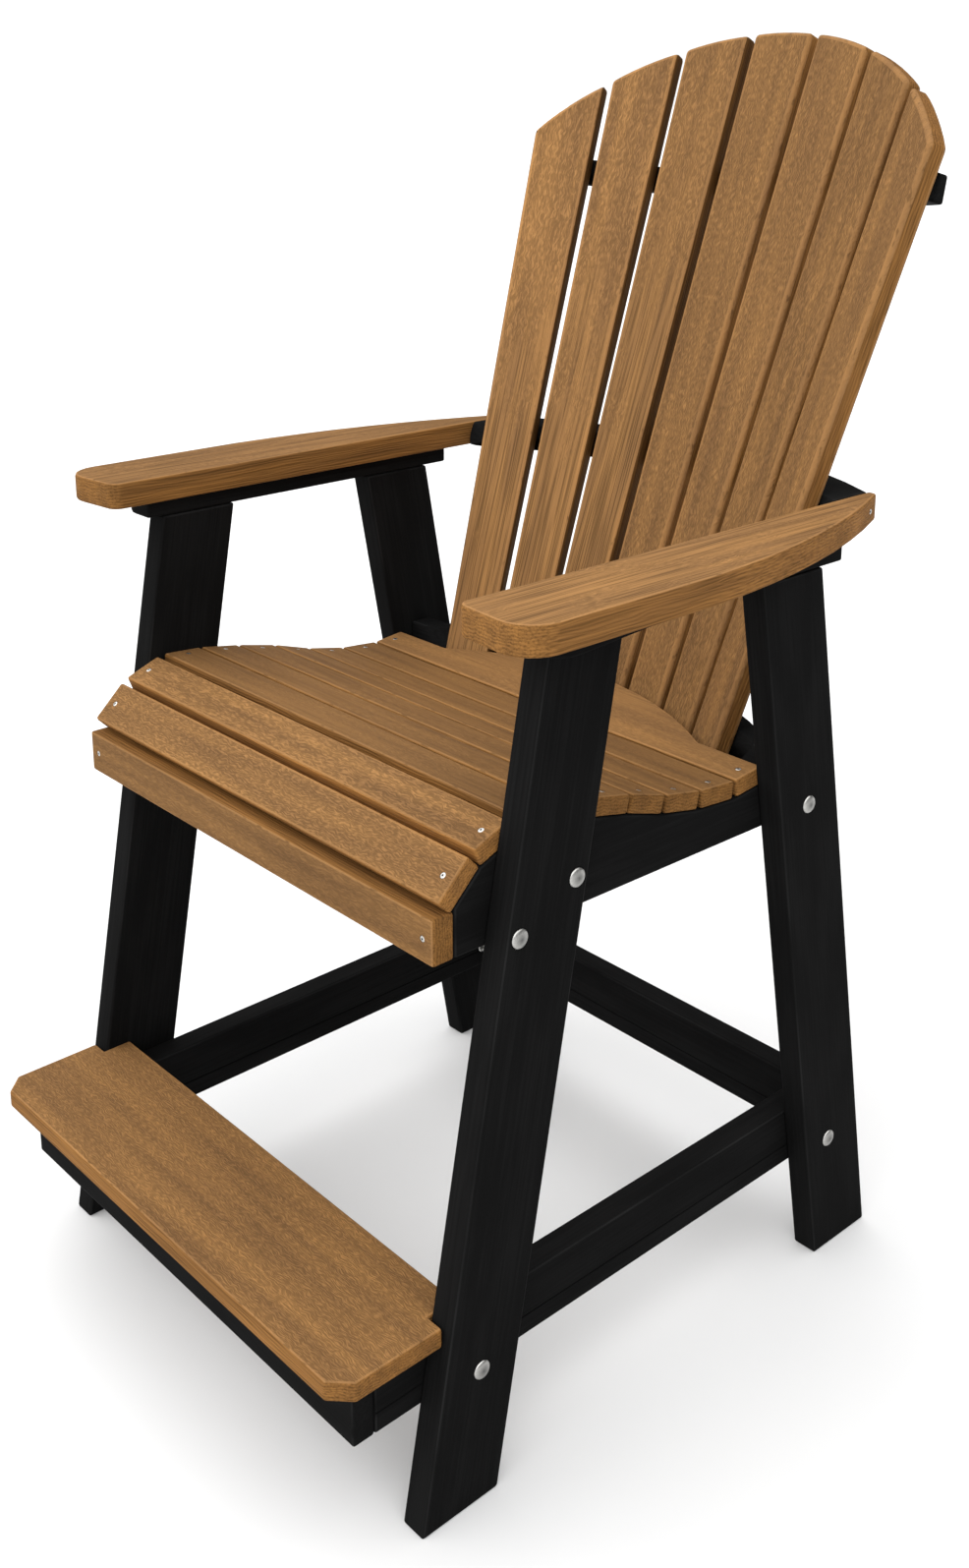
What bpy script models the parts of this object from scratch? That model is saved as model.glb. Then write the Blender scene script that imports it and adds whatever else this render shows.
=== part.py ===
"""Counter-height Adirondack chair of poly lumber.

A black frame of four leaning legs, rails and stretchers carries a brown slatted seat, a fan back,
two arms and a footrest. The chair faces -Y and stands on Z = 0, and its box is centred on the
origin. The sitter's left is +X. All lengths are metres.
"""

import math
from collections import namedtuple

import bmesh
import bpy
from mathutils import Matrix, Vector

# Fits and edges
CLEARANCE = 0.0003  # gap between pieces that touch
EDGE_ROUND = 0.0025  # radius of the eased board edges
EDGE_SEGMENTS = 2
EASED_ANGLE = math.radians(35)  # edges blunter than this stay as they are
ARC_STEP = math.radians(15)
WELD = 0.00001
FLAT_ANGLE = math.radians(0.2)  # faces within this angle count as one
SMOOTH_ANGLE = math.radians(62)

# Legs, and the rails and stretchers that are bolted to their inner faces
FOOTPRINT_LENGTH = 0.662  # from the front feet to the rear feet
LEG_HEIGHT = 0.809
LEG_WIDTH = 0.090
LEG_THICKNESS = 0.028
LEG_LEAN = math.radians(10.2)
SIDE_BOARD_THICKNESS = 0.028

# Seat: a curve of slats that is given by the tilt of each slat, from the front to the back
SEAT_FRONT_Z = 0.6016  # top front edge of the first slat
SEAT_REACH = 0.1054  # from the front legs' middle to that edge
SEAT_SLAT_PITCH = 0.0508
SEAT_SLAT_THICKNESS = 0.019
SEAT_SLAT_GAP = 0.003
SEAT_TILTS = [math.radians(tilt) for tilt in (44, 21, -4, -10, -13, -17.5, -12, -5, 6)]
SEAT_EAR_LENGTH = 0.041  # length of the last slat beside the back
SEAT_BACK_GAP = 0.015  # from the last slat's curved edge to the back slats
SEAT_ARC_POINTS = 13
SEAT_RAIL_FRONT_DROP = 0.0571  # from the seat's front edge to the rail's bottom edge
SEAT_RAIL_REAR_DROP = 0.0646
SEAT_RAIL_TAIL = 0.048  # from the rear legs' middle to the rail's rear end
SEAT_APRON_THICKNESS = 0.0235
SEAT_APRON_LEAD = 0.0065  # from the first slat's edge to the apron's front

# Back: flat tapered slats on a cone that leans back, cut to a circular arch at the top
BACK_SLATS = 7
BACK_SETBACK = 0.0682  # from the seat's rear ears to the middle slat
BACK_SIDE_GAP = 0.0334  # from the outer slats to the seat rails
BACK_SLAT_WIDTH = 0.0556  # at the height of the seat's front edge
BACK_SLAT_GAP = 0.0091
BACK_SLAT_TAPER = math.radians(2.005)  # angle between a slat's edges
BACK_SLAT_THICKNESS = 0.0225
BACK_SLAT_ROUND = 0.005  # radius of the slats' eased edges
BACK_FAN_STEP = math.radians(9.04)  # turn from one slat to the next
BACK_RECLINE = math.radians(20.92)
BACK_FOOT_DROP = 0.042  # from the seat's front edge down to the slats' lower ends
BACK_CROWN = 1.3173  # height of the arch
BACK_ARCH_DROP = 0.1475  # from the crown to the outer corners, along the back
BACK_ARCH_POINTS = 7
BAR_ARC_POINTS = 13
TOP_RAIL_DROP = 0.1668  # from the crown to the rail's middle
TOP_RAIL_TILT = math.radians(12.5)
TOP_RAIL_HEIGHT = 0.030
TOP_RAIL_DEPTH = 0.024
TOP_RAIL_PROUD = 0.008  # past the outer slats
ARM_BRACE_DEPTH = 0.056
ARM_BRACE_LEAD = 0.057  # from the middle slat to the front of the brace's ends
SUPPORT_DEPTH = 0.028
SUPPORT_HEIGHT = 0.028
SUPPORT_GAP = 0.018  # from the seat's rear ears to the support's ends

# Arms and the rails under them
ARM_RAIL_THICKNESS = 0.0187
ARM_RAIL_LEAD = 0.065  # from the front legs' middle to the rail's front end
ARM_RAIL_TAIL = 0.076  # from the rear legs' middle to its rear end
ARM_RAIL_FLARE_WIDTH = 0.058  # width at the front end
ARM_RAIL_FLARE_LENGTH = 0.260
ARM_RAIL_CORNER = 0.028
ARM_THICKNESS = 0.028
ARM_OVERHANG = 0.0125  # past the legs' inner faces
ARM_WIDTH = 0.094
ARM_LEAD = 0.1215  # from the front legs' middle to the arm's front end
ARM_FRONT_SKEW = 0.0095  # setback of the front end's inner corner
ARM_TAIL = 0.0105  # from the brace's ends to the arm's rear end
ARM_TIP_WIDTH = 0.010
ARM_TIP_CORNER = 0.005
ARM_INNER_CORNER = 0.014
ARM_OUTER_CORNER = 0.034
ARM_SWEEP_LENGTH = 0.393  # length of the part that narrows to the tip
ARM_SWEEP_POINTS = 9

# Footrest and stretchers
STRETCHER_BOTTOM = 0.115
STRETCHER_HEIGHT = 0.0677
STRETCHER_TAIL = 0.0385  # from the rear legs' middle to the rear end
STRETCHER_GROOVE_HEIGHT = 0.0213  # above the bottom edge, to the groove's middle
STRETCHER_GROOVE_WIDTH = 0.002
STRETCHER_GROOVE_DEPTH = 0.0015
FOOT_APRON_LEAD = 0.1256  # from the front legs' middle to the apron's front
FOOT_APRON_THICKNESS = 0.0235
FOOTREST_THICKNESS = 0.020
FOOTREST_LEAD = 0.030  # past the apron's front
FOOTREST_DEPTH = 0.148
FOOTREST_SIDE_INSET = 0.0085  # inside the legs' outer faces
FOOTREST_CLIP = 0.0195  # cut corners at the front

# Carriage bolts, each with a flange nut
BOLT_DIAMETER = 0.0079
BOLT_HEAD_DIAMETER = 0.0184
BOLT_HEAD_HEIGHT = 0.003
BOLT_DOME_RINGS = 3
BOLT_SIDES = 12
BOLT_PROUD = 0.003  # thread that shows past the nut
NUT_DIAMETER = 0.0145  # over the corners
NUT_HEIGHT = 0.0080
NUT_FLANGE_DIAMETER = 0.0175
NUT_FLANGE_THICKNESS = 0.0018
NUT_SIDES = 6
SEAT_BOLT_LOW = 0.0135  # bolt heights above the seat rail's bottom edge
SEAT_BOLT_HIGH = 0.0490
SEAT_BOLT_REAR = 0.0230
SEAT_BOLT_SPACING = 0.062  # between the two bolts of a front leg, along Y
STRETCHER_BOLT_HEIGHT = 0.0275  # above the stretcher's bottom edge
REAR_BOLT_INSET = 0.008  # from the rear leg's middle towards the front

# Countersunk screws
SCREW_HEAD_DIAMETER = 0.0062
SCREW_HEAD_HEIGHT = 0.0019
SCREW_DIAMETER = 0.0035
SCREW_POINT = 0.004
SCREW_SINK = 0.0008  # depth of a head below the surface
SCREW_ACCESS = 0.004  # length of the cut above a head
SCREW_SIDES = 8
SEAT_BITE = 0.021  # length of a seat screw in the rail
BRACE_BITE = 0.036  # length of an arm brace screw in the brace
BRACE_SCREW_MARGIN = 0.012  # from the brace's rear edge

Finish = namedtuple("Finish", "name color roughness metallic")
BROWN_LUMBER = Finish("brown_poly_lumber", "8C683F", 0.62, 0.0)
BLACK_LUMBER = Finish("black_poly_lumber", "17181A", 0.55, 0.0)
STAINLESS = Finish("stainless_steel", "C9C8C4", 0.28, 1.0)

SIDES = {"left": 1, "right": -1}
FRONT = -1
REAR = 1
UP = Vector((0, 0, 1))
DOWN = -UP
REARWARD = Vector((0, 1, 0))
SIDEWAYS = Vector((1, 0, 0))

# Turns local X, Y and Z into the chair's Y, Z and X, for boards that are drawn from the side
FROM_SIDE = Matrix(((0, 0, 1), (1, 0, 0), (0, 1, 0))).to_4x4()

SlatFrame = namedtuple("SlatFrame", "base axis across front")
Plane = namedtuple("Plane", "point normal")


# Places that several boards share

def leg_middle(end, height):
    """Y of the middle of the front or the rear legs at a height."""
    cut_length = LEG_WIDTH / math.cos(LEG_LEAN)
    return end * ((FOOTPRINT_LENGTH - cut_length) / 2 - height * math.tan(LEG_LEAN))


def seat_direction(tilt):
    return Vector((0, math.cos(tilt), math.sin(tilt)))


def seat_normal(tilt):
    return Vector((0, -math.sin(tilt), math.cos(tilt)))


def seat_joints():
    """Points on the seat's top where the slats' lines meet, from the front to the back."""
    joints = [Vector((0, leg_middle(FRONT, SEAT_FRONT_Z) - SEAT_REACH, SEAT_FRONT_Z))]
    for tilt in SEAT_TILTS[:-1]:
        joints.append(joints[-1] + seat_direction(tilt) * SEAT_SLAT_PITCH)
    joints.append(joints[-1] + seat_direction(SEAT_TILTS[-1]) * SEAT_EAR_LENGTH)
    return joints


SEAT_JOINTS = seat_joints()
SEAT_REAR = SEAT_JOINTS[-1].y
SEAT_APRON_FRONT = SEAT_JOINTS[0].y - SEAT_APRON_LEAD
SEAT_APRON_REAR = SEAT_APRON_FRONT + SEAT_APRON_THICKNESS
SEAT_RAIL_FRONT = SEAT_APRON_REAR + CLEARANCE
SEAT_RAIL_REAR = leg_middle(REAR, SEAT_FRONT_Z) + SEAT_RAIL_TAIL
SEAT_RAIL_FRONT_BOTTOM = SEAT_FRONT_Z - SEAT_RAIL_FRONT_DROP
SEAT_RAIL_REAR_BOTTOM = SEAT_FRONT_Z - SEAT_RAIL_REAR_DROP
SUPPORT_BOTTOM = (SEAT_JOINTS[-1] - seat_normal(SEAT_TILTS[-1]) * SEAT_SLAT_THICKNESS).z
SUPPORT_END_FRONT = SEAT_REAR + SUPPORT_GAP

BACK_MIDDLE_INDEX = (BACK_SLATS - 1) / 2
BACK_LEVEL = SEAT_FRONT_Z
BACK_FRONT = SEAT_REAR + BACK_SETBACK
BACK_CONE_RADIUS = (BACK_SLAT_WIDTH + BACK_SLAT_GAP) / BACK_FAN_STEP
BACK_SLAT_SPREAD = 2 * math.tan(BACK_SLAT_TAPER / 2)
BACK_CONE_SPREAD = BACK_SLAT_SPREAD / BACK_FAN_STEP
BACK_HALF_TURN = BACK_MIDDLE_INDEX * BACK_FAN_STEP
BACK_REAR_RADIUS = BACK_CONE_RADIUS + BACK_SLAT_THICKNESS / math.cos(BACK_RECLINE)
BACK_HALF_SPAN = (
    BACK_REAR_RADIUS * math.sin(BACK_HALF_TURN) + BACK_SLAT_WIDTH / 2 * math.cos(BACK_HALF_TURN)
)

SIDE_INNER = BACK_HALF_SPAN + BACK_SIDE_GAP  # inner faces of the seat rails and the side stretchers
SIDE_MIDDLE = SIDE_INNER + SIDE_BOARD_THICKNESS / 2
SIDE_OUTER = SIDE_INNER + SIDE_BOARD_THICKNESS
LEG_INNER = SIDE_OUTER + CLEARANCE
LEG_OUTER = LEG_INNER + LEG_THICKNESS
LEG_SIDE_MIDDLE = (LEG_INNER + LEG_OUTER) / 2

ARM_RAIL_BOTTOM = LEG_HEIGHT + CLEARANCE
ARM_RAIL_TOP = ARM_RAIL_BOTTOM + ARM_RAIL_THICKNESS
ARM_RAIL_FRONT = leg_middle(FRONT, LEG_HEIGHT) - ARM_RAIL_LEAD
ARM_RAIL_REAR = leg_middle(REAR, LEG_HEIGHT) + ARM_RAIL_TAIL
ARM_BOTTOM = ARM_RAIL_TOP + CLEARANCE
ARM_MIDDLE = ARM_BOTTOM + ARM_THICKNESS / 2
ARM_INNER = LEG_INNER - ARM_OVERHANG
ARM_OUTER = ARM_INNER + ARM_WIDTH
ARM_FRONT = leg_middle(FRONT, LEG_HEIGHT) - ARM_LEAD
ARM_BRACE_END_FRONT = BACK_FRONT + math.tan(BACK_RECLINE) * (ARM_MIDDLE - BACK_LEVEL) - ARM_BRACE_LEAD
ARM_BRACE_END_REAR = ARM_BRACE_END_FRONT + ARM_BRACE_DEPTH
ARM_REAR = ARM_BRACE_END_REAR + ARM_TAIL

STRETCHER_MIDDLE = STRETCHER_BOTTOM + STRETCHER_HEIGHT / 2
STRETCHER_REAR = leg_middle(REAR, STRETCHER_MIDDLE) + STRETCHER_TAIL
FOOT_APRON_FRONT = leg_middle(FRONT, STRETCHER_MIDDLE) - FOOT_APRON_LEAD
STRETCHER_FRONT = FOOT_APRON_FRONT + FOOT_APRON_THICKNESS + CLEARANCE
FOOTREST_BOTTOM = STRETCHER_BOTTOM + STRETCHER_HEIGHT + CLEARANCE
FOOTREST_FRONT = FOOT_APRON_FRONT - FOOTREST_LEAD


# Scene

def clear_scene():
    for item in list(bpy.data.objects):
        bpy.data.objects.remove(item)


def new_collection(name):
    collection = bpy.data.collections.new(name)
    bpy.context.scene.collection.children.link(collection)
    return collection


def linear(hex_color):
    """Linear RGBA of an sRGB hex colour."""
    channels = [int(hex_color[i:i + 2], 16) / 255 for i in (0, 2, 4)]
    return [c / 12.92 if c <= 0.04045 else ((c + 0.055) / 1.055) ** 2.4 for c in channels] + [1.0]


def material(finish):
    existing = bpy.data.materials.get(finish.name)
    if existing:
        return existing
    made = bpy.data.materials.new(finish.name)
    made.use_nodes = True
    shader = made.node_tree.nodes["Principled BSDF"]
    shader.inputs["Base Color"].default_value = linear(finish.color)
    shader.inputs["Roughness"].default_value = finish.roughness
    shader.inputs["Metallic"].default_value = finish.metallic
    return made


class Chair:
    """The chair's collections, and the empty that carries every piece."""

    def __init__(self):
        self.pieces = new_collection("adirondack_counter_chair")
        self.cutters = new_collection("cutters")
        self.frame = bpy.data.objects.new("chair_frame", None)
        self.pieces.objects.link(self.frame)

    def add(self, name, mesh, finish, placement=Matrix()):
        piece = bpy.data.objects.new(name, mesh)
        piece.parent = self.frame
        piece.matrix_basis = placement
        piece.data.materials.append(material(finish))
        self.pieces.objects.link(piece)
        return piece

    def add_board(self, name, mesh, finish, placement=Matrix(), rounding=EDGE_ROUND):
        """A piece with eased edges."""
        piece = self.add(name, mesh, finish, placement)
        easing = piece.modifiers.new("Eased edges", "BEVEL")
        easing.width = rounding
        easing.segments = EDGE_SEGMENTS
        easing.limit_method = "ANGLE"
        easing.angle_limit = EASED_ANGLE
        return piece

    def add_cutter(self, name, mesh):
        cutter = bpy.data.objects.new(name, mesh)
        cutter.parent = self.frame
        cutter.hide_render = True
        cutter.display_type = "WIRE"
        self.cutters.objects.link(cutter)
        return cutter

    def centre(self):
        """Moves the frame so that the chair's box is centred on Y = 0."""
        bpy.context.view_layer.update()
        depsgraph = bpy.context.evaluated_depsgraph_get()
        depths = []
        for piece in self.pieces.objects:
            if piece.type == "MESH":
                mesh = piece.evaluated_get(depsgraph).data
                depths += [(piece.matrix_world @ vertex.co).y for vertex in mesh.vertices]
        self.frame.location.y = -(min(depths) + max(depths)) / 2


# Meshes

def tidy(mesh):
    """Welds a mesh, joins its coplanar faces and turns its faces outwards."""
    shape = bmesh.new()
    shape.from_mesh(mesh)
    bmesh.ops.remove_doubles(shape, verts=shape.verts, dist=WELD)
    bmesh.ops.dissolve_limit(shape, angle_limit=FLAT_ANGLE, verts=shape.verts, edges=shape.edges)
    bmesh.ops.recalc_face_normals(shape, faces=shape.faces)
    shape.to_mesh(mesh)
    shape.free()
    return mesh


def evaluated_mesh(source):
    """The mesh that an object's curve or modifiers give. The object itself is removed."""
    bpy.context.scene.collection.objects.link(source)
    bpy.context.view_layer.update()
    evaluated = source.evaluated_get(bpy.context.evaluated_depsgraph_get())
    mesh = bpy.data.meshes.new_from_object(evaluated)
    mesh.name = source.name
    bpy.data.objects.remove(source)
    return tidy(mesh)


def box_mesh(name, size):
    shape = bmesh.new()
    bmesh.ops.create_cube(shape, size=1.0)
    bmesh.ops.scale(shape, vec=size, verts=shape.verts)
    mesh = bpy.data.meshes.new(name)
    shape.to_mesh(mesh)
    shape.free()
    return mesh


def plank_mesh(name, outline, thickness):
    """A closed outline in local XY with its thickness centred on local Z."""
    curve = bpy.data.curves.new(name, "CURVE")
    curve.dimensions = "2D"
    curve.fill_mode = "BOTH"
    curve.extrude = thickness / 2
    spline = curve.splines.new("POLY")
    spline.points.add(len(outline) - 1)
    spline.use_cyclic_u = True
    for point, (x, y) in zip(spline.points, outline):
        point.co = (x, y, 0.0, 1.0)
    return evaluated_mesh(bpy.data.objects.new(name, curve))


def loft_mesh(name, lower, upper):
    """A solid between two unlike sections with as many points each."""
    shape = bmesh.new()
    bottom = [shape.verts.new(point) for point in lower]
    top = [shape.verts.new(point) for point in upper]
    shape.faces.new(bottom)
    shape.faces.new(top)
    for i in range(len(bottom)):
        shape.faces.new((bottom[i - 1], bottom[i], top[i], top[i - 1]))
    mesh = bpy.data.meshes.new(name)
    shape.to_mesh(mesh)
    shape.free()
    return tidy(mesh)


def turned_mesh(name, profile, sides, ring=False):
    """A profile of (radius, height) points, from top to bottom, turned round local Z."""
    edges = [(i, i + 1) for i in range(len(profile) - 1)]
    if ring:
        edges.append((len(profile) - 1, 0))
    mesh = bpy.data.meshes.new(name)
    mesh.from_pydata([(radius, 0.0, height) for radius, height in profile], edges, [])
    source = bpy.data.objects.new(name, mesh)
    turn = source.modifiers.new("Turned", "SCREW")
    turn.axis = "Z"
    turn.angle = math.tau
    turn.steps = sides
    turn.render_steps = sides
    turn.use_merge_vertices = True
    turn.merge_threshold = WELD
    return evaluated_mesh(source)


def repeated_mesh(name, unit, places):
    """Copies of a turned mesh, each with its origin at a point and its -Z along a direction."""
    shape = bmesh.new()
    for point, direction in places:
        first = len(shape.verts)
        shape.from_mesh(unit)
        shape.verts.ensure_lookup_table()
        turn = DOWN.rotation_difference(direction).to_matrix().to_4x4()
        bmesh.ops.transform(shape, matrix=Matrix.Translation(point) @ turn, verts=shape.verts[first:])
    mesh = bpy.data.meshes.new(name)
    shape.to_mesh(mesh)
    shape.free()
    mesh.shade_smooth()
    mesh.set_sharp_from_angle(angle=SMOOTH_ANGLE)
    return mesh


def rounded_outline(corners):
    """Points of an outline whose (x, y, radius) corners are rounded."""
    points = []
    for i, (x, y, radius) in enumerate(corners):
        corner = Vector((x, y))
        if radius == 0:
            points.append(corner)
            continue
        before = (Vector(corners[i - 1][:2]) - corner).normalized()
        after = (Vector(corners[(i + 1) % len(corners)][:2]) - corner).normalized()
        half = before.angle(after) / 2
        centre = corner + (before + after).normalized() * radius / math.sin(half)
        start = corner + before * radius / math.tan(half) - centre
        stop = corner + after * radius / math.tan(half) - centre
        sweep = math.atan2(start.x * stop.y - start.y * stop.x, start.dot(stop))
        steps = max(2, round(abs(sweep) / ARC_STEP))
        points += [centre + Matrix.Rotation(sweep * n / steps, 2) @ start for n in range(steps + 1)]
    return points


def cut(cutter, boards):
    for board in boards:
        boolean = board.modifiers.new(cutter.name, "BOOLEAN")
        boolean.operation = "DIFFERENCE"
        boolean.solver = "EXACT"
        boolean.object = cutter


def meeting_point(*planes):
    """The point that three planes share."""
    normals = Matrix([plane.normal for plane in planes])
    distances = Vector([plane.normal.dot(plane.point) for plane in planes])
    return normals.inverted() @ distances


def level_box(chair, name, finish, low, high):
    """A board along the axes between two corners."""
    low = Vector(low)
    high = Vector(high)
    return chair.add_board(name, box_mesh(name, high - low), finish, Matrix.Translation((low + high) / 2))


# Fasteners

def screw_profile(length):
    head = SCREW_HEAD_DIAMETER / 2
    shank = SCREW_DIAMETER / 2
    return [(0, 0), (head, 0), (shank, -SCREW_HEAD_HEIGHT), (shank, SCREW_POINT - length), (0, -length)]


def drill_screw_holes(chair, name, places, length, boards):
    """Countersunk holes for screws of a length, in the boards that they join."""
    play = CLEARANCE / math.cos(math.pi / SCREW_SIDES)
    head = SCREW_HEAD_DIAMETER / 2 + play
    shank = SCREW_DIAMETER / 2 + play
    floor = -length - CLEARANCE
    profile = [(0, SCREW_ACCESS), (head, SCREW_ACCESS), (head, 0)]
    profile += [(shank, -SCREW_HEAD_HEIGHT), (shank, floor), (0, floor)]
    hole = turned_mesh(name, profile, SCREW_SIDES)
    cut(chair.add_cutter(name, repeated_mesh(name, hole, places)), boards)


def bolt_profile(length):
    radius = BOLT_HEAD_DIAMETER / 2
    shank = BOLT_DIAMETER / 2
    turns = [math.pi / 2 * ring / BOLT_DOME_RINGS for ring in range(BOLT_DOME_RINGS)]
    dome = [(radius * math.cos(turn), BOLT_HEAD_HEIGHT * math.sin(turn)) for turn in reversed(turns)]
    return [(0, BOLT_HEAD_HEIGHT), *dome, (shank, 0), (shank, -length), (0, -length)]


def nut_profile():
    bore = (BOLT_DIAMETER / 2 + CLEARANCE) / math.cos(math.pi / NUT_SIDES)
    flange = NUT_FLANGE_DIAMETER / 2
    body = NUT_DIAMETER / 2
    ledge = -NUT_FLANGE_THICKNESS
    return [(bore, 0), (flange, 0), (flange, ledge), (body, ledge), (body, -NUT_HEIGHT), (bore, -NUT_HEIGHT)]


def bolt_places():
    """Where each bolt's head meets a leg's outer face, and the way in, under the bolt's own name."""
    points = {}
    seat_bolts = (
        ("seat_front_high", FRONT, SEAT_BOLT_HIGH, SEAT_BOLT_SPACING / 2),
        ("seat_front_low", FRONT, SEAT_BOLT_LOW, -SEAT_BOLT_SPACING / 2),
        ("seat_rear", REAR, SEAT_BOLT_REAR, 0),
    )
    for name, end, height, shift in seat_bolts:
        y = leg_middle(end, SEAT_RAIL_FRONT_BOTTOM + height) + shift
        points[name] = (y, seat_rail_bottom(y) + height)
    low = STRETCHER_BOTTOM + STRETCHER_BOLT_HEIGHT
    points["stretcher_front"] = (leg_middle(FRONT, low), low)
    points["stretcher_rear"] = (leg_middle(REAR, low) - REAR_BOLT_INSET, low)
    places = {}
    for name, (y, z) in points.items():
        for side_name, side in SIDES.items():
            face = Vector((side * (LEG_OUTER + CLEARANCE), y, z))
            places[f"{name}_{{}}_{side_name}"] = (face, SIDEWAYS * -side)
    return places


def add_bolts(chair, boards):
    """Carriage bolts through the legs and the boards behind them, each with its nut."""
    nut_start = CLEARANCE + LEG_THICKNESS + CLEARANCE + SIDE_BOARD_THICKNESS + CLEARANCE
    length = nut_start + NUT_HEIGHT + BOLT_PROUD
    bolt = turned_mesh("bolt_unit", bolt_profile(length), BOLT_SIDES)
    nut = turned_mesh("nut_unit", nut_profile(), NUT_SIDES, ring=True)
    places = bolt_places()
    for name, (point, direction) in places.items():
        bolt_name = name.format("bolt")
        chair.add(bolt_name, repeated_mesh(bolt_name, bolt, [(point, direction)]), STAINLESS)
        nut_name = name.format("nut")
        seat = point + direction * nut_start
        chair.add(nut_name, repeated_mesh(nut_name, nut, [(seat, direction)]), STAINLESS)
    bore = BOLT_DIAMETER / 2 + CLEARANCE / math.cos(math.pi / BOLT_SIDES)
    hole = turned_mesh("bolt_hole", [(0, length), (bore, length), (bore, -length), (0, -length)], BOLT_SIDES)
    cut(chair.add_cutter("bolt_holes", repeated_mesh("bolt_holes", hole, places.values())), boards)


# Legs

def add_legs(chair):
    legs = []
    half = LEG_WIDTH / math.cos(LEG_LEAN) / 2
    for end_name, end in (("front", FRONT), ("rear", REAR)):
        foot = leg_middle(end, 0)
        head = leg_middle(end, LEG_HEIGHT)
        outline = [(foot - half, 0), (foot + half, 0), (head + half, LEG_HEIGHT), (head - half, LEG_HEIGHT)]
        for side_name, side in SIDES.items():
            name = f"{end_name}_leg_{side_name}"
            place = Matrix.Translation((side * LEG_SIDE_MIDDLE, 0, 0)) @ FROM_SIDE
            mesh = plank_mesh(name, outline, LEG_THICKNESS)
            legs.append(chair.add_board(name, mesh, BLACK_LUMBER, place))
    return legs


# Seat

def seat_setback(tilt, next_tilt):
    """How far a slat stays behind a joint, so that slats that turn down don't meet below."""
    turn = max(0.0, tilt - next_tilt)
    return max(SEAT_SLAT_GAP / 2, CLEARANCE + SEAT_SLAT_THICKNESS * math.tan(turn / 2))


def seat_slat_ends():
    """Top front and top rear points of each slat."""
    ends = []
    for i, tilt in enumerate(SEAT_TILTS):
        along = seat_direction(tilt)
        front = SEAT_JOINTS[i]
        rear = SEAT_JOINTS[i + 1]
        if i > 0:
            front = front + along * seat_setback(SEAT_TILTS[i - 1], tilt)
        if i < len(SEAT_TILTS) - 1:
            rear = rear - along * seat_setback(tilt, SEAT_TILTS[i + 1])
        ends.append((front, rear))
    return ends


def last_slat_outline(front, rear):
    """The rear slat in its own plane: square ears, and an arc along the back between them."""
    slope = math.cos(SEAT_TILTS[-1])
    centre, radius = back_circle(rear.z)
    radius -= SEAT_BACK_GAP
    half_turn = math.acos((rear.y - centre) / radius)
    turns = [half_turn * (1 - 2 * n / (SEAT_ARC_POINTS - 1)) for n in range(SEAT_ARC_POINTS)]
    arc = [(radius * math.sin(turn), (centre + radius * math.cos(turn) - front.y) / slope) for turn in turns]
    ear = (rear.y - front.y) / slope
    return [(-SIDE_OUTER, 0), (SIDE_OUTER, 0), (SIDE_OUTER, ear), *arc, (-SIDE_OUTER, ear)]


def seat_rail_outline():
    """Side view of a seat rail, with its top under the slats."""
    drop = SEAT_SLAT_THICKNESS + CLEARANCE
    under = []
    for joint, tilt in zip(SEAT_JOINTS, SEAT_TILTS):
        under.append(Plane(joint - seat_normal(tilt) * drop, seat_normal(tilt)))
    middle = Plane(Vector(), SIDEWAYS)
    front = Plane(REARWARD * SEAT_RAIL_FRONT, REARWARD)
    rest = Plane(UP * (SUPPORT_BOTTOM - CLEARANCE), UP)
    top = [meeting_point(first, second, middle) for first, second in zip([front, *under], [*under, rest])]
    outline = [(SEAT_RAIL_FRONT, SEAT_RAIL_FRONT_BOTTOM), (SEAT_RAIL_REAR, SEAT_RAIL_REAR_BOTTOM)]
    outline.append((SEAT_RAIL_REAR, rest.point.z))
    return outline + [(point.y, point.z) for point in reversed(top)]


def seat_rail_bottom(y):
    share = (y - SEAT_RAIL_FRONT) / (SEAT_RAIL_REAR - SEAT_RAIL_FRONT)
    return SEAT_RAIL_FRONT_BOTTOM + share * (SEAT_RAIL_REAR_BOTTOM - SEAT_RAIL_FRONT_BOTTOM)


def seat_apron_top():
    """Height of the apron: under the first slat's eased lower edge, or up its front end if that is higher."""
    along = seat_direction(SEAT_TILTS[0])
    normal = seat_normal(SEAT_TILTS[0])
    lower_edge = SEAT_JOINTS[0] - normal * SEAT_SLAT_THICKNESS + (along + normal) * EDGE_ROUND
    reach = (SEAT_APRON_REAR - EDGE_ROUND - SEAT_JOINTS[0].y) * along.y + EDGE_ROUND + CLEARANCE
    front_end = SEAT_FRONT_Z + EDGE_ROUND - reach / along.z
    return max(lower_edge.z - EDGE_ROUND - CLEARANCE, front_end)


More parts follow.
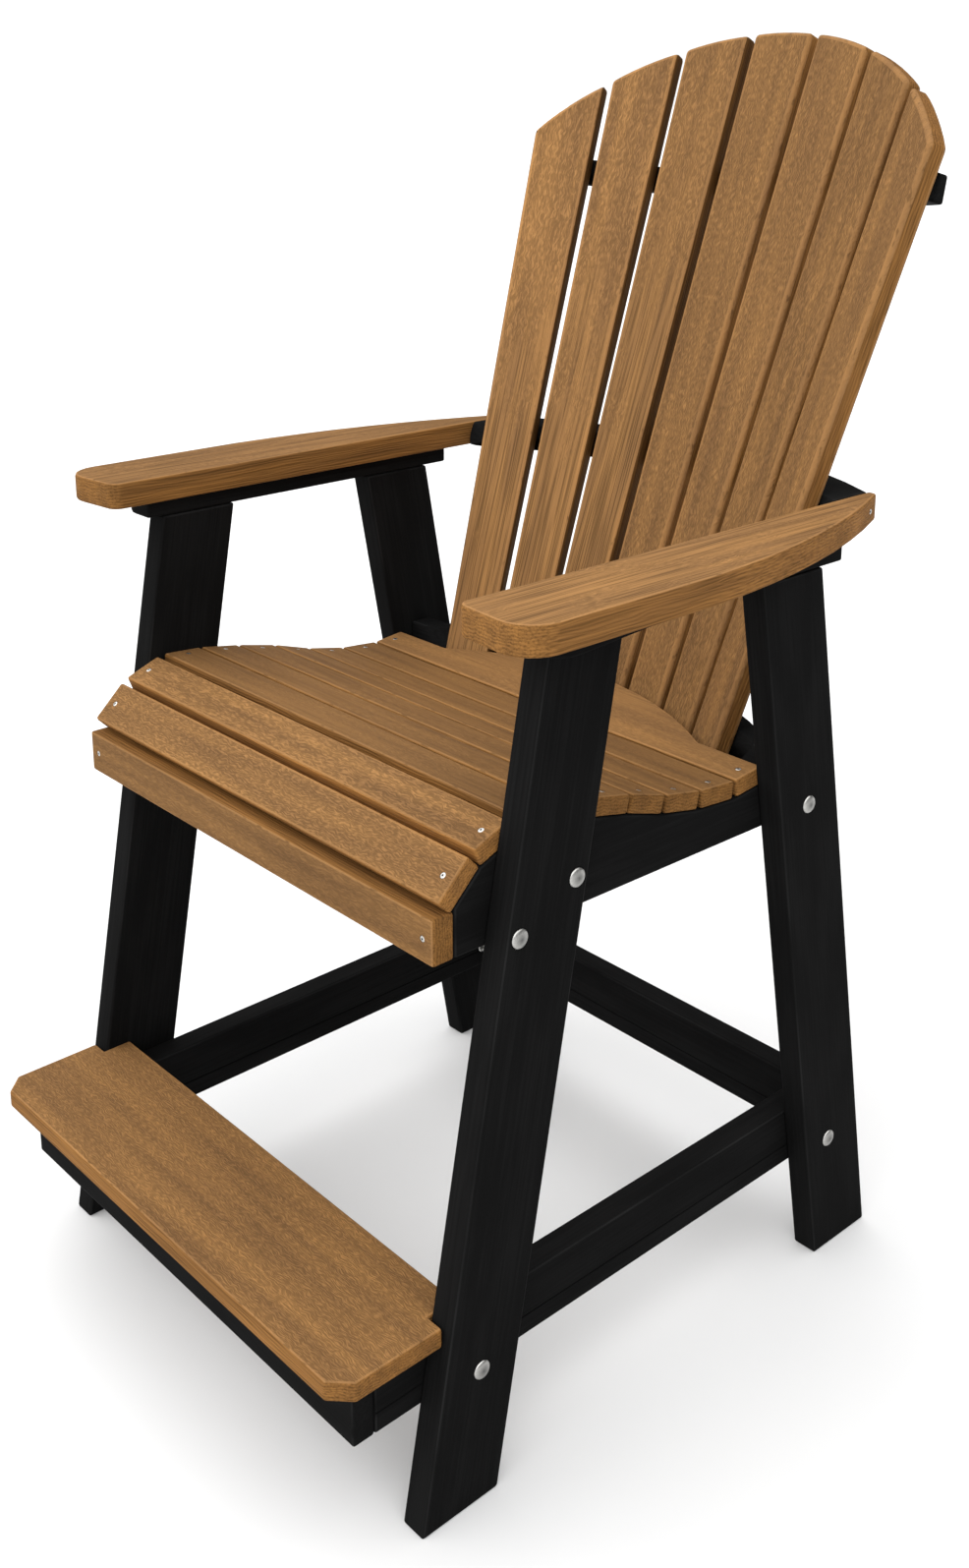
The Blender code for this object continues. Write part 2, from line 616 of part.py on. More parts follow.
def add_seat(chair):
    """Rails, apron and slats. Returns the rails."""
    rails = []
    outline = seat_rail_outline()
    for side_name, side in SIDES.items():
        name = f"seat_rail_{side_name}"
        place = Matrix.Translation((side * SIDE_MIDDLE, 0, 0)) @ FROM_SIDE
        mesh = plank_mesh(name, outline, SIDE_BOARD_THICKNESS)
        rails.append(chair.add_board(name, mesh, BLACK_LUMBER, place))

    apron_top = seat_apron_top()
    low = (-SIDE_OUTER, SEAT_APRON_FRONT, SEAT_RAIL_FRONT_BOTTOM)
    boards = [level_box(chair, "seat_apron", BROWN_LUMBER, low, (SIDE_OUTER, SEAT_APRON_REAR, apron_top))]
    apron_middle = Vector((0, SEAT_APRON_FRONT, (SEAT_RAIL_FRONT_BOTTOM + apron_top) / 2))
    heads = [(apron_middle, REARWARD)]

    for i, (tilt, (front, rear)) in enumerate(zip(SEAT_TILTS, seat_slat_ends())):
        name = f"seat_slat_{i + 1}"
        normal = seat_normal(tilt)
        middle = (front + rear) / 2
        if i < len(SEAT_TILTS) - 1:
            mesh = box_mesh(name, (2 * SIDE_OUTER, (rear - front).length, SEAT_SLAT_THICKNESS))
            start = middle
        else:
            mesh = plank_mesh(name, last_slat_outline(front, rear), SEAT_SLAT_THICKNESS)
            start = front
        place = Matrix.Translation(start - normal * SEAT_SLAT_THICKNESS / 2) @ Matrix.Rotation(tilt, 4, "X")
        boards.append(chair.add_board(name, mesh, BROWN_LUMBER, place))
        heads.append((middle, -normal))

    places = []
    for head, direction in heads:
        for side in SIDES.values():
            places.append((head + direction * SCREW_SINK + SIDEWAYS * side * SIDE_MIDDLE, direction))
    length = SEAT_SLAT_THICKNESS + SEAT_BITE
    drill_screw_holes(chair, "seat_screw_holes", places, length, boards + rails)
    return rails


# Back

def back_circle(level):
    """Centre Y and radius of the circle on which the slats' front faces stand at a height."""
    climb = level - BACK_LEVEL
    radius = BACK_CONE_RADIUS + BACK_CONE_SPREAD * climb
    return BACK_FRONT + math.tan(BACK_RECLINE) * climb - radius, radius


def slat_frame(index):
    """Front-face middle of a back slat at the back's level, and the slat's own directions."""
    turn = (index - BACK_MIDDLE_INDEX) * BACK_FAN_STEP
    centre, radius = back_circle(BACK_LEVEL)
    base = Vector((radius * math.sin(turn), centre + radius * math.cos(turn), BACK_LEVEL))
    lean = math.tan(BACK_RECLINE) - BACK_CONE_SPREAD * (1 - math.cos(turn))
    axis = Vector((BACK_CONE_SPREAD * math.sin(turn), lean, 1)).normalized()
    front = Vector((math.cos(turn), -math.sin(turn), 0)).cross(axis).normalized()
    return SlatFrame(base, axis, axis.cross(front), front)


def slat_half_width(slat, along):
    return (BACK_SLAT_WIDTH + BACK_SLAT_SPREAD * along * slat.axis.z) / 2


def back_plane(height, drop=0):
    """The plane square to the middle slat at a height on its front, or lower along it by a drop."""
    middle = slat_frame(BACK_MIDDLE_INDEX)
    return Plane(middle.base + middle.axis * ((height - BACK_LEVEL) / middle.axis.z - drop), middle.axis)


def along_slat(slat, plane):
    """Distance along a slat's axis to a plane."""
    return plane.normal.dot(plane.point - slat.base) / plane.normal.dot(slat.axis)


def outer_edge(plane):
    """X of the outer slat's front edge at a plane."""
    slat = slat_frame(BACK_SLATS - 1)
    along = along_slat(slat, plane)
    return (slat.base + slat.axis * along + slat.across * slat_half_width(slat, along)).x


def arch_distance(slat, share):
    """Distance along a slat's axis to the arch, on the line at a share of the slat's half width.

    The arch is a circle as seen square to the middle slat, through the crown and the outer corners.
    """
    crown = back_plane(BACK_CROWN)
    half_span = outer_edge(back_plane(BACK_CROWN, BACK_ARCH_DROP))
    radius = (half_span ** 2 + BACK_ARCH_DROP ** 2) / (2 * BACK_ARCH_DROP)
    start = slat.base + slat.across * share * slat_half_width(slat, 0)
    step = slat.axis + slat.across * share * BACK_SLAT_SPREAD * slat.axis.z / 2
    offset = start - (crown.point - crown.normal * radius)
    flat_offset = Vector((offset.x, offset.dot(crown.normal)))
    flat_step = Vector((step.x, step.dot(crown.normal)))
    half = flat_step.dot(flat_offset) / flat_step.length_squared
    rest = (flat_offset.length_squared - radius ** 2) / flat_step.length_squared
    return math.sqrt(half ** 2 - rest) - half


def back_slat_outline(slat):
    foot = -BACK_FOOT_DROP / slat.axis.z
    half = slat_half_width(slat, foot)
    outline = [(-half, foot), (half, foot)]
    for n in range(BACK_ARCH_POINTS):
        share = 1 - 2 * n / (BACK_ARCH_POINTS - 1)
        along = arch_distance(slat, share)
        outline.append((share * slat_half_width(slat, along), along))
    return outline


def slat_space_section(level, half_length, front):
    """Outline, on a level, of what lies between a front and the slats' rear faces."""
    planes = [Plane(SIDEWAYS * -half_length, SIDEWAYS)]
    for index in range(BACK_SLATS):
        slat = slat_frame(index)
        planes.append(Plane(slat.base - slat.front * (BACK_SLAT_THICKNESS + CLEARANCE), slat.front))
    planes.append(Plane(SIDEWAYS * half_length, SIDEWAYS))
    planes.append(Plane(REARWARD * front, REARWARD))
    return [meeting_point(level, first, second) for first, second in zip(planes, planes[1:] + planes[:1])]


def bar_outline(radius, depth, half_length, end_front):
    """Top view of a bar: a straight front, and an arc behind that stays a depth from it at the ends."""
    end_rear = end_front + depth
    half_turn = min(math.asin(half_length / radius), math.acos(1 - (depth - end_rear) / radius))
    turns = [half_turn * (1 - 2 * n / (BAR_ARC_POINTS - 1)) for n in range(BAR_ARC_POINTS)]
    arc = [(radius * math.sin(turn), depth - radius * (1 - math.cos(turn))) for turn in turns]
    corner = arc[0][1]
    front_edge = [(-half_length, end_front), (half_length, end_front)]
    return [*front_edge, (half_length, corner), *arc, (-half_length, corner)]


def add_bar(chair, name, level, height, depth, half_length, end_front):
    """A bar behind the slats, round its middle level, with a flat seat for each slat."""
    middle = slat_frame(BACK_MIDDLE_INDEX)
    seat = Plane(middle.base - middle.front * (BACK_SLAT_THICKNESS + CLEARANCE), middle.front)
    origin = meeting_point(level, seat, Plane(Vector(), SIDEWAYS))
    tilt = UP.rotation_difference(level.normal).to_matrix().to_4x4()
    radius = back_circle(origin.z)[1] + BACK_SLAT_THICKNESS + depth
    outline = bar_outline(radius, depth, half_length, end_front - origin.y)
    mesh = plank_mesh(name, outline, height)
    bar = chair.add_board(name, mesh, BLACK_LUMBER, Matrix.Translation(origin) @ tilt)
    sections = []
    for share in (-1, 1):
        plane = Plane(level.point + level.normal * share * height, level.normal)
        sections.append(slat_space_section(plane, half_length + depth, end_front - half_length))
    space_name = name + "_slat_space"
    cut(chair.add_cutter(space_name, loft_mesh(space_name, *sections)), [bar])
    return bar


def add_back(chair):
    """Slats and the bars behind them. Returns the arm brace."""
    for index in range(BACK_SLATS):
        name = f"back_slat_{index + 1}"
        slat = slat_frame(index)
        place = Matrix((slat.across, slat.axis, slat.front)).transposed().to_4x4()
        place.translation = slat.base - slat.front * BACK_SLAT_THICKNESS / 2
        mesh = plank_mesh(name, back_slat_outline(slat), BACK_SLAT_THICKNESS)
        chair.add_board(name, mesh, BROWN_LUMBER, place, BACK_SLAT_ROUND)

    across = Matrix.Rotation(-TOP_RAIL_TILT, 3, "X") @ UP
    level = Plane(back_plane(BACK_CROWN - TOP_RAIL_DROP).point, across)
    half_length = outer_edge(level) + TOP_RAIL_PROUD
    front = slat_frame(0).base.y
    add_bar(chair, "back_top_rail", level, TOP_RAIL_HEIGHT, TOP_RAIL_DEPTH, half_length, front)
    level = Plane(UP * (SUPPORT_BOTTOM + SUPPORT_HEIGHT / 2), UP)
    add_bar(chair, "back_lower_support", level, SUPPORT_HEIGHT, SUPPORT_DEPTH, SIDE_OUTER, SUPPORT_END_FRONT)
    level = Plane(UP * ARM_MIDDLE, UP)
    half_length = ARM_INNER - CLEARANCE
    return add_bar(
        chair, "back_arm_brace", level, ARM_THICKNESS, ARM_BRACE_DEPTH, half_length, ARM_BRACE_END_FRONT
    )


# Arms

def arm_edge(y):
    """X of an arm's outer edge, which turns in along an arc to the rear tip."""
    depth = ARM_WIDTH - ARM_TIP_WIDTH
    radius = (depth ** 2 + ARM_SWEEP_LENGTH ** 2) / (2 * depth)
    past = max(0.0, y - (ARM_REAR - ARM_SWEEP_LENGTH))
    return ARM_OUTER - radius + math.sqrt(radius ** 2 - past ** 2)


def arm_outline(side):
    corners = [
        (ARM_INNER, ARM_FRONT + ARM_FRONT_SKEW, ARM_INNER_CORNER),
        (ARM_OUTER, ARM_FRONT, ARM_OUTER_CORNER),
    ]
    for n in range(ARM_SWEEP_POINTS):
        y = ARM_REAR - ARM_SWEEP_LENGTH * (1 - n / ARM_SWEEP_POINTS)
        corners.append((arm_edge(y), y, 0))
    corners.append((arm_edge(ARM_REAR), ARM_REAR, ARM_TIP_CORNER))
    corners.append((ARM_INNER, ARM_REAR, ARM_TIP_CORNER))
    return [(side * x, y) for x, y in rounded_outline(corners)]


def arm_rail_outline(side):
    """Top view of the rail under an arm: flush with the legs, and wider at the front."""
    flare = LEG_INNER + ARM_RAIL_FLARE_WIDTH
    corners = [
        (LEG_INNER, ARM_RAIL_FRONT, 0),
        (flare, ARM_RAIL_FRONT, ARM_RAIL_CORNER),
        (LEG_OUTER, ARM_RAIL_FRONT + ARM_RAIL_FLARE_LENGTH, 0),
        (LEG_OUTER, ARM_RAIL_REAR, 0),
        (LEG_INNER, ARM_RAIL_REAR, 0),
    ]
    return [(side * x, y) for x, y in rounded_outline(corners)]


def add_arms(chair, brace):
    """The arms on their rails, and the screws that hold the brace between the arms."""
    arms = []
    screws = {}
    screw_y = ARM_BRACE_END_REAR - BRACE_SCREW_MARGIN
    for side_name, side in SIDES.items():
        name = f"arm_rail_{side_name}"
        mesh = plank_mesh(name, arm_rail_outline(side), ARM_RAIL_THICKNESS)
        place = Matrix.Translation(UP * (ARM_RAIL_BOTTOM + ARM_RAIL_TOP) / 2)
        chair.add_board(name, mesh, BLACK_LUMBER, place)
        name = f"arm_{side_name}"
        mesh = plank_mesh(name, arm_outline(side), ARM_THICKNESS)
        arms.append(chair.add_board(name, mesh, BROWN_LUMBER, Matrix.Translation(UP * ARM_MIDDLE)))
        head = Vector((side * (arm_edge(screw_y) - SCREW_SINK), screw_y, ARM_MIDDLE))
        screws[f"arm_brace_screw_{side_name}"] = (head, SIDEWAYS * -side)

    length = arm_edge(screw_y) - ARM_INNER + BRACE_BITE
    unit = turned_mesh("screw_unit", screw_profile(length), SCREW_SIDES)
    for name, place in screws.items():
        chair.add(name, repeated_mesh(name, unit, [place]), STAINLESS)
    drill_screw_holes(chair, "arm_brace_screw_holes", screws.values(), length, [*arms, brace])


# Footrest

def footrest_outline():
    """A board with cut front corners, and notches for the front legs."""
    half = LEG_OUTER - FOOTREST_SIDE_INSET
    notch = leg_middle(FRONT, FOOTREST_BOTTOM) - LEG_WIDTH / math.cos(LEG_LEAN) / 2 - CLEARANCE
    rear = FOOTREST_FRONT + FOOTREST_DEPTH
    left = [
        (half - FOOTREST_CLIP, FOOTREST_FRONT),
        (half, FOOTREST_FRONT + FOOTREST_CLIP),
        (half, notch),
        (SIDE_OUTER, notch),
        (SIDE_OUTER, rear),
    ]
    return left + [(-x, y) for x, y in reversed(left)]


def cut_stretcher_grooves(chair, stretchers):
    """A shallow groove along the stretchers' faces: one level bar inside their frame, and three around it."""
    inner_side = SIDE_INNER + STRETCHER_GROOVE_DEPTH
    inner_rear = STRETCHER_REAR - SIDE_BOARD_THICKNESS + STRETCHER_GROOVE_DEPTH
    outer_side = SIDE_OUTER - STRETCHER_GROOVE_DEPTH
    outer_rear = STRETCHER_REAR - STRETCHER_GROOVE_DEPTH
    before = STRETCHER_FRONT - SIDE_BOARD_THICKNESS
    beside = SIDE_OUTER + SIDE_BOARD_THICKNESS
    behind = STRETCHER_REAR + SIDE_BOARD_THICKNESS
    bars = {
        "inner_groove": ((-inner_side, before), (inner_side, inner_rear)),
        "left_groove": ((outer_side, before), (beside, behind)),
        "right_groove": ((-beside, before), (-outer_side, behind)),
        "rear_groove": ((-beside, outer_rear), (beside, behind)),
    }
    for name, (low, high) in bars.items():
        size = (high[0] - low[0], high[1] - low[1], STRETCHER_GROOVE_WIDTH)
        cutter = chair.add_cutter(name, box_mesh(name, size))
        height = STRETCHER_BOTTOM + STRETCHER_GROOVE_HEIGHT
        cutter.location = ((low[0] + high[0]) / 2, (low[1] + high[1]) / 2, height)
        cut(cutter, stretchers)


def add_footrest(chair):
    """Stretchers, apron and board. Returns the side stretchers."""
    low = STRETCHER_BOTTOM
    high = STRETCHER_BOTTOM + STRETCHER_HEIGHT
    stretchers = []
    for side_name, side in SIDES.items():
        inner_corner = (min(side * SIDE_INNER, side * SIDE_OUTER), STRETCHER_FRONT, low)
        outer_corner = (max(side * SIDE_INNER, side * SIDE_OUTER), STRETCHER_REAR, high)
        name = f"side_stretcher_{side_name}"
        stretchers.append(level_box(chair, name, BLACK_LUMBER, inner_corner, outer_corner))

    half = SIDE_INNER - CLEARANCE
    front = STRETCHER_REAR - SIDE_BOARD_THICKNESS
    rear_corner = (half, STRETCHER_REAR, high)
    rear_stretcher = level_box(chair, "rear_stretcher", BLACK_LUMBER, (-half, front, low), rear_corner)
    cut_stretcher_grooves(chair, [*stretchers, rear_stretcher])
    low_corner = (-SIDE_OUTER, FOOT_APRON_FRONT, low)
    high_corner = (SIDE_OUTER, FOOT_APRON_FRONT + FOOT_APRON_THICKNESS, high)
    level_box(chair, "foot_apron", BLACK_LUMBER, low_corner, high_corner)
    mesh = plank_mesh("footrest_board", footrest_outline(), FOOTREST_THICKNESS)
    place = Matrix.Translation(UP * (FOOTREST_BOTTOM + FOOTREST_THICKNESS / 2))
    chair.add_board("footrest_board", mesh, BROWN_LUMBER, place)
    return stretchers


def main():
    clear_scene()
    chair = Chair()
    legs = add_legs(chair)
    seat_rails = add_seat(chair)
    brace = add_back(chair)
    add_arms(chair, brace)
    stretchers = add_footrest(chair)
    add_bolts(chair, legs + seat_rails + stretchers)
    chair.centre()


main()
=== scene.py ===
"""Looks of a counter-height Adirondack chair: black and brown poly lumber with stainless fasteners.

Every board is dressed from its own CAD solid, and the fasteners are set where the CAD boards are bored.
All lengths are in metres, in the CAD's own frame: the chair faces -Y and the sitter's left is +X.
"""

import math

import bmesh
import bpy
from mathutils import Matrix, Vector
from mathutils.bvhtree import BVHTree


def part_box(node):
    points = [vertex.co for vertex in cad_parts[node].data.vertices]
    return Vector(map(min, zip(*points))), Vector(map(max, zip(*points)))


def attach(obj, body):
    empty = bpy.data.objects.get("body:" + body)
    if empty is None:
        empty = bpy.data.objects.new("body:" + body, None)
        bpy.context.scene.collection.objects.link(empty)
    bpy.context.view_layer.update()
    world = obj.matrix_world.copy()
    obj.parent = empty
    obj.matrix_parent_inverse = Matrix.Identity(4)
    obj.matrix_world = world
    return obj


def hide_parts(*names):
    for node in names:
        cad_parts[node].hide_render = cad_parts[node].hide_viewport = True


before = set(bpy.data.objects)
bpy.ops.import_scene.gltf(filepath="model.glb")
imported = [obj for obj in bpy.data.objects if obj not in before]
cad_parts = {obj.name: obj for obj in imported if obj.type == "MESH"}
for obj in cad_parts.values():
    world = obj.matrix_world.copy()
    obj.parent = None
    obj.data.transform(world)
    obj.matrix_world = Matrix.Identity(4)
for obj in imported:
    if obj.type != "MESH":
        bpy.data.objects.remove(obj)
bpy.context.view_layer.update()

MM = 0.001

# The sitter's two sides, by their sign of X.
SIDES = {"left": 1.0, "right": -1.0}

# Boards, by the colour they are extruded in.
SEAT_SLATS = [f"seat_slat_{number}" for number in range(1, 10)]
BACK_SLATS = [f"back_slat_{number}" for number in range(1, 8)]
ARMS = [f"arm_{side}" for side in SIDES]
BACK_BARS = ["back_top_rail", "back_arm_brace", "back_lower_support"]
BROWN_BOARDS = SEAT_SLATS + BACK_SLATS + ARMS + ["seat_apron", "footrest_board"]
BLACK_BOARDS = BACK_BARS + ["rear_stretcher", "foot_apron"] + [
    f"{board}_{side}"
    for board in ("front_leg", "rear_leg", "seat_rail", "arm_rail", "side_stretcher")
    for side in SIDES
]

# How curly the embossed grain is at a board's two ends: 1 is all short curls, 0 is long straight lines.
CURLY = (0.85, 0.85)
CURL = {name: (0.55, 0.55) for name in SEAT_SLATS[2:]}
CURL.update({name: (0.4, 0.4) for name in ARMS})
CURL.update({name: (0.05, 0.85) for name in BACK_SLATS[:3]})

# How far apart in the grain's pattern two boards are cut.
GRAIN_SHIFT = 0.41

# How deep the grain is embossed, beside the deepest boards.
EMBOSS = {name: 0.5 for name in SEAT_SLATS[2:]}
EMBOSS.update({"seat_apron": 0.5, "footrest_board": 0.85})

# How far round the rounded edges the pale band goes, partly wear and partly painted highlight: it ends where
# a face is less flat than this. Back slats 4 to 7 get a wide band, as their sides catch the light; back slats
# 1 to 3 and seat slats 3 to 9 a narrow one, so the rest of their rounding takes the planed colour as painted
# shade.
WEAR_AND_HIGHLIGHT_END = 0.5
WEAR_AND_HIGHLIGHT_ENDS = {name: 0.3 for name in BACK_SLATS[3:]}
WEAR_AND_HIGHLIGHT_ENDS.update({name: 0.85 for name in BACK_SLATS[:3] + SEAT_SLATS[2:]})

# Faces flatter than this are a board's wide faces.
WIDE_FACE = 0.97

# How pale a brown board is beside the others: partly its own tone and partly painted light and shade, paler
# on the near arm, which is lit more, and darker on seat slats 3 to 8, which lie in shade under the back.
PAINTED_LIGHT_AND_TONE = {name: 0.86 for name in SEAT_SLATS[2:8]}
PAINTED_LIGHT_AND_TONE.update({"back_slat_1": 1.25, "back_slat_2": 1.18, "back_slat_3": 1.06, "back_slat_6": 0.93})
PAINTED_LIGHT_AND_TONE.update({"arm_left": 1.12, "arm_right": 0.95})
PAINTED_LIGHT_AND_TONE.update({"seat_slat_9": 1.08, "seat_apron": 0.9, "footrest_board": 1.06})

# How pale a brown board's planed sides are, where they differ from its faces: painted shade on the sides of
# back slats 1 to 3, which face away from the light, and painted light on the front sides of seat slats 1 and
# 2.
SIDE_PAINTED_LIGHT_AND_TONE = {name: 0.5 for name in BACK_SLATS[:3]}
SIDE_PAINTED_LIGHT_AND_TONE.update({"seat_slat_1": 1.3, "seat_slat_2": 1.4})

# Fasteners. The screw line is how far the seat screws are from the chair's middle, and the hole reach is
# how far from that line a vertex can be and still belong to a screw's hole.
BOLT_JOINTS = ("seat_front_high", "seat_front_low", "seat_rear", "stretcher_front", "stretcher_rear")
BOLT_SHANK = 8.0 * MM
BOLT_RISE = 3.0 * MM
NUT_BORE = 6.6 * MM
NUT_ACROSS = 13.8 * MM
SCREW_HEAD = 6.2 * MM
SCREW_SHANK = 3.5 * MM
SCREW_LENGTH = 32.0 * MM
SCREW_SINK = 0.4 * MM
SCREW_LINE = 0.27005
HOLE_REACH = 4.6 * MM
DRIVE_SEEDS = {"carriage_bolts": 3, "flange_nuts": 5, "arm_screws": 7, "seat_screws": 11, "back_screws": 13}
SHARP_CORNER = math.radians(35)

# How CAD triangles are joined into whole faces.
WELD_REACH = 0.001 * MM
FLAT_ANGLE = math.radians(0.5)

# A distance from the middle of the back that is behind all of it.
BEHIND_BACK = 0.3

# Camera of the photograph. Its lens and sensor are in mm, and its shift is a share of the sensor.
SENSOR_WIDTH = 36.0
CAMERA_PLACE = (1.24595, -1.14169, 1.26382)
CAMERA_TURN = (math.radians(90 - 15.3441), 0.0, math.radians(47.9747))
CAMERA_LENS = 38.366
CAMERA_SHIFT = -0.15676

# Studio light. Sides are directions from the chair.
ROOM_BRIGHT_SIDE = Vector((-0.3, -0.93, 0.15)).normalized()
ROOM_DIM = 0.08
ROOM_BRIGHT = 1.0
ROOM_SEEN = 1.05
SOFTBOX_SIDE = Vector((-0.06, -0.2, 0.97))
SOFTBOX_ENERGY = 4.5
SOFTBOX_SPREAD = math.radians(120)
FLOOR_REACH = 60.0


def linear(hex_colour):
    """The linear colour of an sRGB hex value."""
    values = [int(hex_colour[place:place + 2], 16) / 255 for place in (1, 3, 5)]
    return [v / 12.92 if v <= 0.04045 else ((v + 0.055) / 1.055) ** 2.4 for v in values] + [1.0]


def add_node(tree, kind, inputs=None, **settings):
    """Adds a node: settings are its own properties, inputs are values or sockets by name or number."""
    node = tree.nodes.new(kind)
    for name, value in settings.items():
        setattr(node, name, value)
    for key, value in (inputs or {}).items():
        if isinstance(value, bpy.types.NodeSocket):
            tree.links.new(value, node.inputs[key])
        else:
            node.inputs[key].default_value = value
    return node


def new_finish(name, **sockets):
    """A new material with its Principled shader, whose constant sockets are set here."""
    material = bpy.data.materials.new(name)
    material.use_nodes = True
    shader = material.node_tree.nodes["Principled BSDF"]
    for socket, value in sockets.items():
        shader.inputs[socket.replace("_", " ")].default_value = value
    return material, material.node_tree, shader


def lumber_noises(tree, place, kinds):
    """Noises that follow a board's grain, by name. Each kind is its name, the size in mm of its blotches
    along, across and through the board, and its detail."""
    noises = {}
    for name, size, detail in kinds:
        scale = [1 / (side * MM) for side in size]
        spread = add_node(tree, "ShaderNodeMapping", {"Vector": place, "Scale": scale})
        inputs = {"Vector": spread.outputs[0], "Scale": 1.0, "Detail": detail}
        noises[name] = add_node(tree, "ShaderNodeTexNoise", inputs).outputs[0]
    return noises


def brown_lumber():
    """HDPE lumber, extruded with colour streaks and embossed: matt and mottled, with short curly strokes on
    its wide faces, long streaks on its planed sides, ring lines at its ends and paler rounded edges, partly
    wear and partly a painted highlight."""
    material, tree, shader = new_finish(
        "brown_hdpe_lumber_embossed", IOR=1.54, Specular_IOR_Level=0.04
    )
    read = {
        name: add_node(tree, "ShaderNodeAttribute", attribute_name=name).outputs
        for name in ("board_place", "curl", "emboss", "pigment", "planed", "edge")
    }
    place = read["board_place"]["Vector"]
    planed = read["planed"]["Fac"]
    edge = read["edge"]["Fac"]
    noise = lumber_noises(
        tree,
        place,
        (
            ("streaks", (220, 15, 15), 3.0),
            ("lines", (120, 1.5, 1.5), 1.0),
            ("patches", (90, 40, 40), 2.0),
            ("sway", (70, 14, 14), 2.0),
            ("nicks", (14, 5, 5), 2.0),
        ),
    )

    # Pigment streaks: a hand long and a finger wide, from a dark brown to a lighter, warmer one.
    tone = add_node(tree, "ShaderNodeValToRGB", {"Fac": noise["streaks"]})
    tone.color_ramp.elements[0].position = 0.30
    tone.color_ramp.elements[0].color = linear("#6C4F32")
    tone.color_ramp.elements[1].position = 0.70
    tone.color_ramp.elements[1].color = linear("#825F39")

    # Curls: thin pale strokes, bent about by swirls.
    stroke_length = 7 * MM
    stroke_width = 1.2 * MM
    swirl_size = 9 * MM
    swirl_reach = 5 * MM
    swirls = add_node(
        tree, "ShaderNodeTexNoise", {"Vector": place, "Scale": 1 / swirl_size, "Detail": 0.0}
    ).outputs["Color"]
    bent = add_node(
        tree,
        "ShaderNodeVectorMath",
        {0: swirls, 1: (swirl_reach, swirl_reach, 0.0), 2: place},
        operation="MULTIPLY_ADD",
    )
    stroke_place = add_node(
        tree,
        "ShaderNodeMapping",
        {
            "Vector": bent.outputs[0],
            "Scale": (1 / stroke_length, 1 / stroke_width, 1 / stroke_length),
        },
    )
    strokes = add_node(
        tree, "ShaderNodeTexNoise", {"Vector": stroke_place.outputs[0], "Scale": 1.0, "Detail": 1.0}
    )
    curls = add_node(
        tree,
        "ShaderNodeMapRange",
        {"Value": strokes.outputs[0], "From Min": 0.42, "From Max": 0.68, "To Min": -0.45, "To Max": 1.1},
    )

    # Straight grain: long fine lines. A board changes from one to the other in patches.
    grain = add_node(
        tree,
        "ShaderNodeMapRange",
        {"Value": noise["lines"], "From Min": 0.38, "From Max": 0.54, "To Min": -0.8, "To Max": 0.5},
    )
    leaning = add_node(
        tree, "ShaderNodeMath", {0: read["curl"]["Fac"], 1: noise["patches"]}, operation="ADD"
    )
    curly = add_node(
        tree,
        "ShaderNodeMapRange",
        {"Value": leaning.outputs[0], "From Min": 0.8, "From Max": 1.15},
        interpolation_type="SMOOTHSTEP",
    )
    embossing = add_node(
        tree, "ShaderNodeMix", {0: curly.outputs[0], 2: grain.outputs[0], 3: curls.outputs[0]}
    )
    face_relief = add_node(
        tree, "ShaderNodeMath", {0: embossing.outputs[0], 1: read["emboss"]["Fac"]}, operation="MULTIPLY"
    )

    # Rings round a middle outside the board: streaks along the planed sides, arcs on the ends.
    ring_middle = (0.0, 18 * MM, 31 * MM)
    ring_stretch = 50
    ring_sway = 9 * MM
    ring_spacing = 3.1 * MM
    line_share = 0.6
    heart = add_node(
        tree,
        "ShaderNodeMapping",
        {"Vector": place, "Location": ring_middle, "Scale": (1 / ring_stretch, 1.0, 1.0)},
    )
    radius = add_node(tree, "ShaderNodeVectorMath", {0: heart.outputs[0]}, operation="LENGTH")
    swayed = add_node(
        tree,
        "ShaderNodeMath",
        {0: noise["sway"], 1: ring_sway, 2: radius.outputs["Value"]},
        operation="MULTIPLY_ADD",
    )
    ring_turn = add_node(
        tree, "ShaderNodeMath", {0: swayed.outputs[0], 1: math.tau / ring_spacing}, operation="MULTIPLY"
    )
    rings = add_node(tree, "ShaderNodeMath", {0: ring_turn.outputs[0]}, operation="SINE")
    side_relief = add_node(tree, "ShaderNodeMix", {0: line_share, 2: rings.outputs[0], 3: grain.outputs[0]})
    relief = add_node(
        tree, "ShaderNodeMix", {0: planed, 2: face_relief.outputs[0], 3: side_relief.outputs[0]}
    )

    # Raised strokes are paler than the valleys, and rounded edges are painted pale, partly as wear and partly
    # as a highlight, but for a few nicks.
    shade = add_node(
        tree,
        "ShaderNodeMapRange",
        {"Value": relief.outputs[0], "From Min": -1.0, "From Max": 1.0, "To Min": 0.56, "To Max": 1.38},
    )
    rubbed_and_highlit = add_node(
        tree,
        "ShaderNodeMapRange",
        {"Value": noise["nicks"], "From Min": 0.3, "From Max": 0.4, "To Min": 0.85, "To Max": 1.38},
    )
    worn_and_highlit = add_node(tree, "ShaderNodeMix", {0: edge, 2: shade.outputs[0], 3: rubbed_and_highlit.outputs[0]})
    # The board's painted light and shade, with its own tone, scales the whole colour.
    paleness = add_node(
        tree, "ShaderNodeMath", {0: worn_and_highlit.outputs[0], 1: read["pigment"]["Fac"]}, operation="MULTIPLY"
    )
    face_colour = add_node(
        tree,
        "ShaderNodeMix",
        {"Factor": 1.0, 6: tone.outputs[0], 7: paleness.outputs[0]},
        data_type="RGBA",
        blend_type="MULTIPLY",
    )

